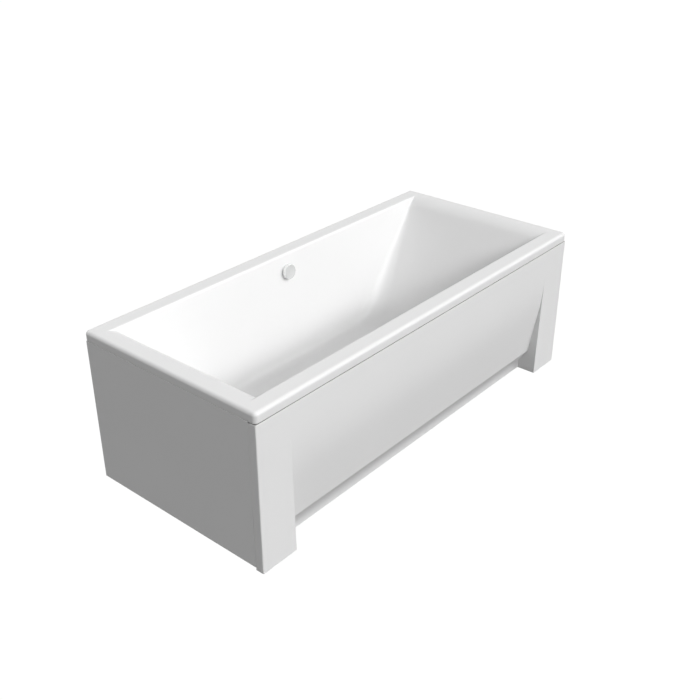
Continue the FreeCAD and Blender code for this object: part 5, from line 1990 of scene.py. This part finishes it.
@dataclass
class Studio:
    """Camera, lights, floor and backdrop."""

    eye: Triple = (-2.5145, -2.1156, 2.109)
    aim: Triple = (-0.0016, 0.0, 0.2881)
    lens: float = 50.0
    sensor: float = 36.0
    lights: tuple[SoftLight, ...] = (
        SoftLight("key", 25.0, 30.0, 0.89, 10.0),
        SoftLight("middle", 0.0, 36.0, 0.935, 10.0),
        SoftLight("left", -25.0, 27.0, 0.555, 13.0),
        SoftLight("right", 50.0, 30.0, 0.32, 24.0),
        SoftLight("back", 180.0, 8.0, 0.6, 24.0),
    )
    sky: float = 0.537
    ground: float = 0.0
    horizon: float = 0.02
    backdrop_radius: float = 40.0
    floor_height: float = -0.0008
    floor_glow: float = 1.02
    mirrored_height: float = -0.0012
    mirrored_glow: float = 0.27

    def camera(self) -> None:
        """Set the camera at the photograph's view."""
        data = bpy.data.cameras.new("view")
        data.lens = self.lens
        data.sensor_width = self.sensor
        camera = linked("view", data)
        aimed(camera, Vector(self.eye), Vector(self.aim) - Vector(self.eye))
        bpy.context.scene.camera = camera

    def fill(self) -> None:
        """Even light from the upper half of the surroundings."""
        world = bpy.data.worlds.new("studio")
        bpy.context.scene.world = world
        world.use_nodes = True
        tree = NodeTree(world.node_tree)
        way = tree.node("ShaderNodeTexCoord").outputs["Generated"]
        rise = tree.node("ShaderNodeSeparateXYZ", {"Vector": way}).outputs["Z"]
        limits = {"From Min": -self.horizon, "From Max": self.horizon}
        inputs = {**limits, "To Min": self.ground, "To Max": self.sky, "Value": rise}
        blend = tree.node("ShaderNodeMapRange", inputs).outputs["Result"]
        background = world.node_tree.nodes["Background"]
        tree.give(background.inputs["Color"], WHITE)
        tree.give(background.inputs["Strength"], blend)

    def white(self, strength: float) -> bpy.types.Material:
        """Even white that needs no light.

        Args:
            strength: How bright it is.

        Returns:
            The material.
        """
        material = bpy.data.materials.new("studio white")
        material.use_nodes = True
        shader = material.node_tree.nodes["Principled BSDF"]
        for name, value in (
            ("Base Color", BLACK),
            ("Specular IOR Level", 0.0),
            ("Emission Color", WHITE),
            ("Emission Strength", strength),
        ):
            shader.inputs[name].default_value = value
        return material

    def stand(self, made: bpy.types.Object, mirrored: bool = False) -> None:
        """Keep a backdrop piece from lighting or shading the tub.

        Args:
            made: The backdrop piece.
            mirrored: Whether it shows only in reflections, and not to the camera.
        """
        made.visible_camera = not mirrored
        made.visible_glossy = mirrored
        made.visible_diffuse = False
        made.visible_shadow = False
        made.visible_transmission = False
        made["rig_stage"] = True

    def plane(self, name: str, height: float, glow: float) -> bpy.types.Object:
        """Wide level square that glows evenly.

        Args:
            name: Its name.
            height: Its height.
            glow: How bright it is.

        Returns:
            The linked object.
        """
        size = self.backdrop_radius
        corners = [(x * size, y * size, height) for x, y in ((-1, -1), (1, -1), (1, 1), (-1, 1))]
        mesh = bpy.data.meshes.new(name)
        mesh.from_pydata(corners, [], [(0, 1, 2, 3)])
        return object_from(name, mesh, self.white(glow))

    def floor_and_backdrop(self) -> None:
        """White floor, its dimmer mirror image in shiny pieces, and a white dome behind."""
        self.stand(self.plane("studio_floor", self.floor_height, self.floor_glow))
        mirrored = self.plane("studio_mirrored_floor", self.mirrored_height, self.mirrored_glow)
        self.stand(mirrored, mirrored=True)
        dome = bpy.data.meshes.new("studio backdrop")
        ball = bmesh.new()
        bmesh.ops.create_icosphere(ball, subdivisions=3, radius=self.backdrop_radius)
        bmesh.ops.reverse_faces(ball, faces=ball.faces)
        ball.to_mesh(dome)
        ball.free()
        self.stand(object_from("studio_backdrop", dome, self.white(self.floor_glow)))

    def build(self) -> None:
        """Set up the studio."""
        settings = bpy.context.scene.view_settings
        settings.view_transform = "Standard"
        settings.look = "None"
        self.camera()
        for light in self.lights:
            light.build(self.backdrop_radius / 4)
        self.fill()
        self.floor_and_backdrop()


# ---------------------------------------------------------------- build


def main() -> tuple[Vector, Vector]:
    """Build the tub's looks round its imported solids.

    Returns:
        Corners of the solids' box, from straight after loading.
    """
    logging.basicConfig(level=logging.INFO, format="%(name)s: %(message)s")
    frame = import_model()
    solid_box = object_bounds()
    finishes = Finishes()
    done: set[str] = set()
    for assembly in (TubShell, Panels, Fasteners, Feet, Lines, Overflow, KeptSolids):
        assembly(finishes, frame, done).build()
    Studio().build()
    return solid_box


if __name__ == "__main__":
    cad_box = main()
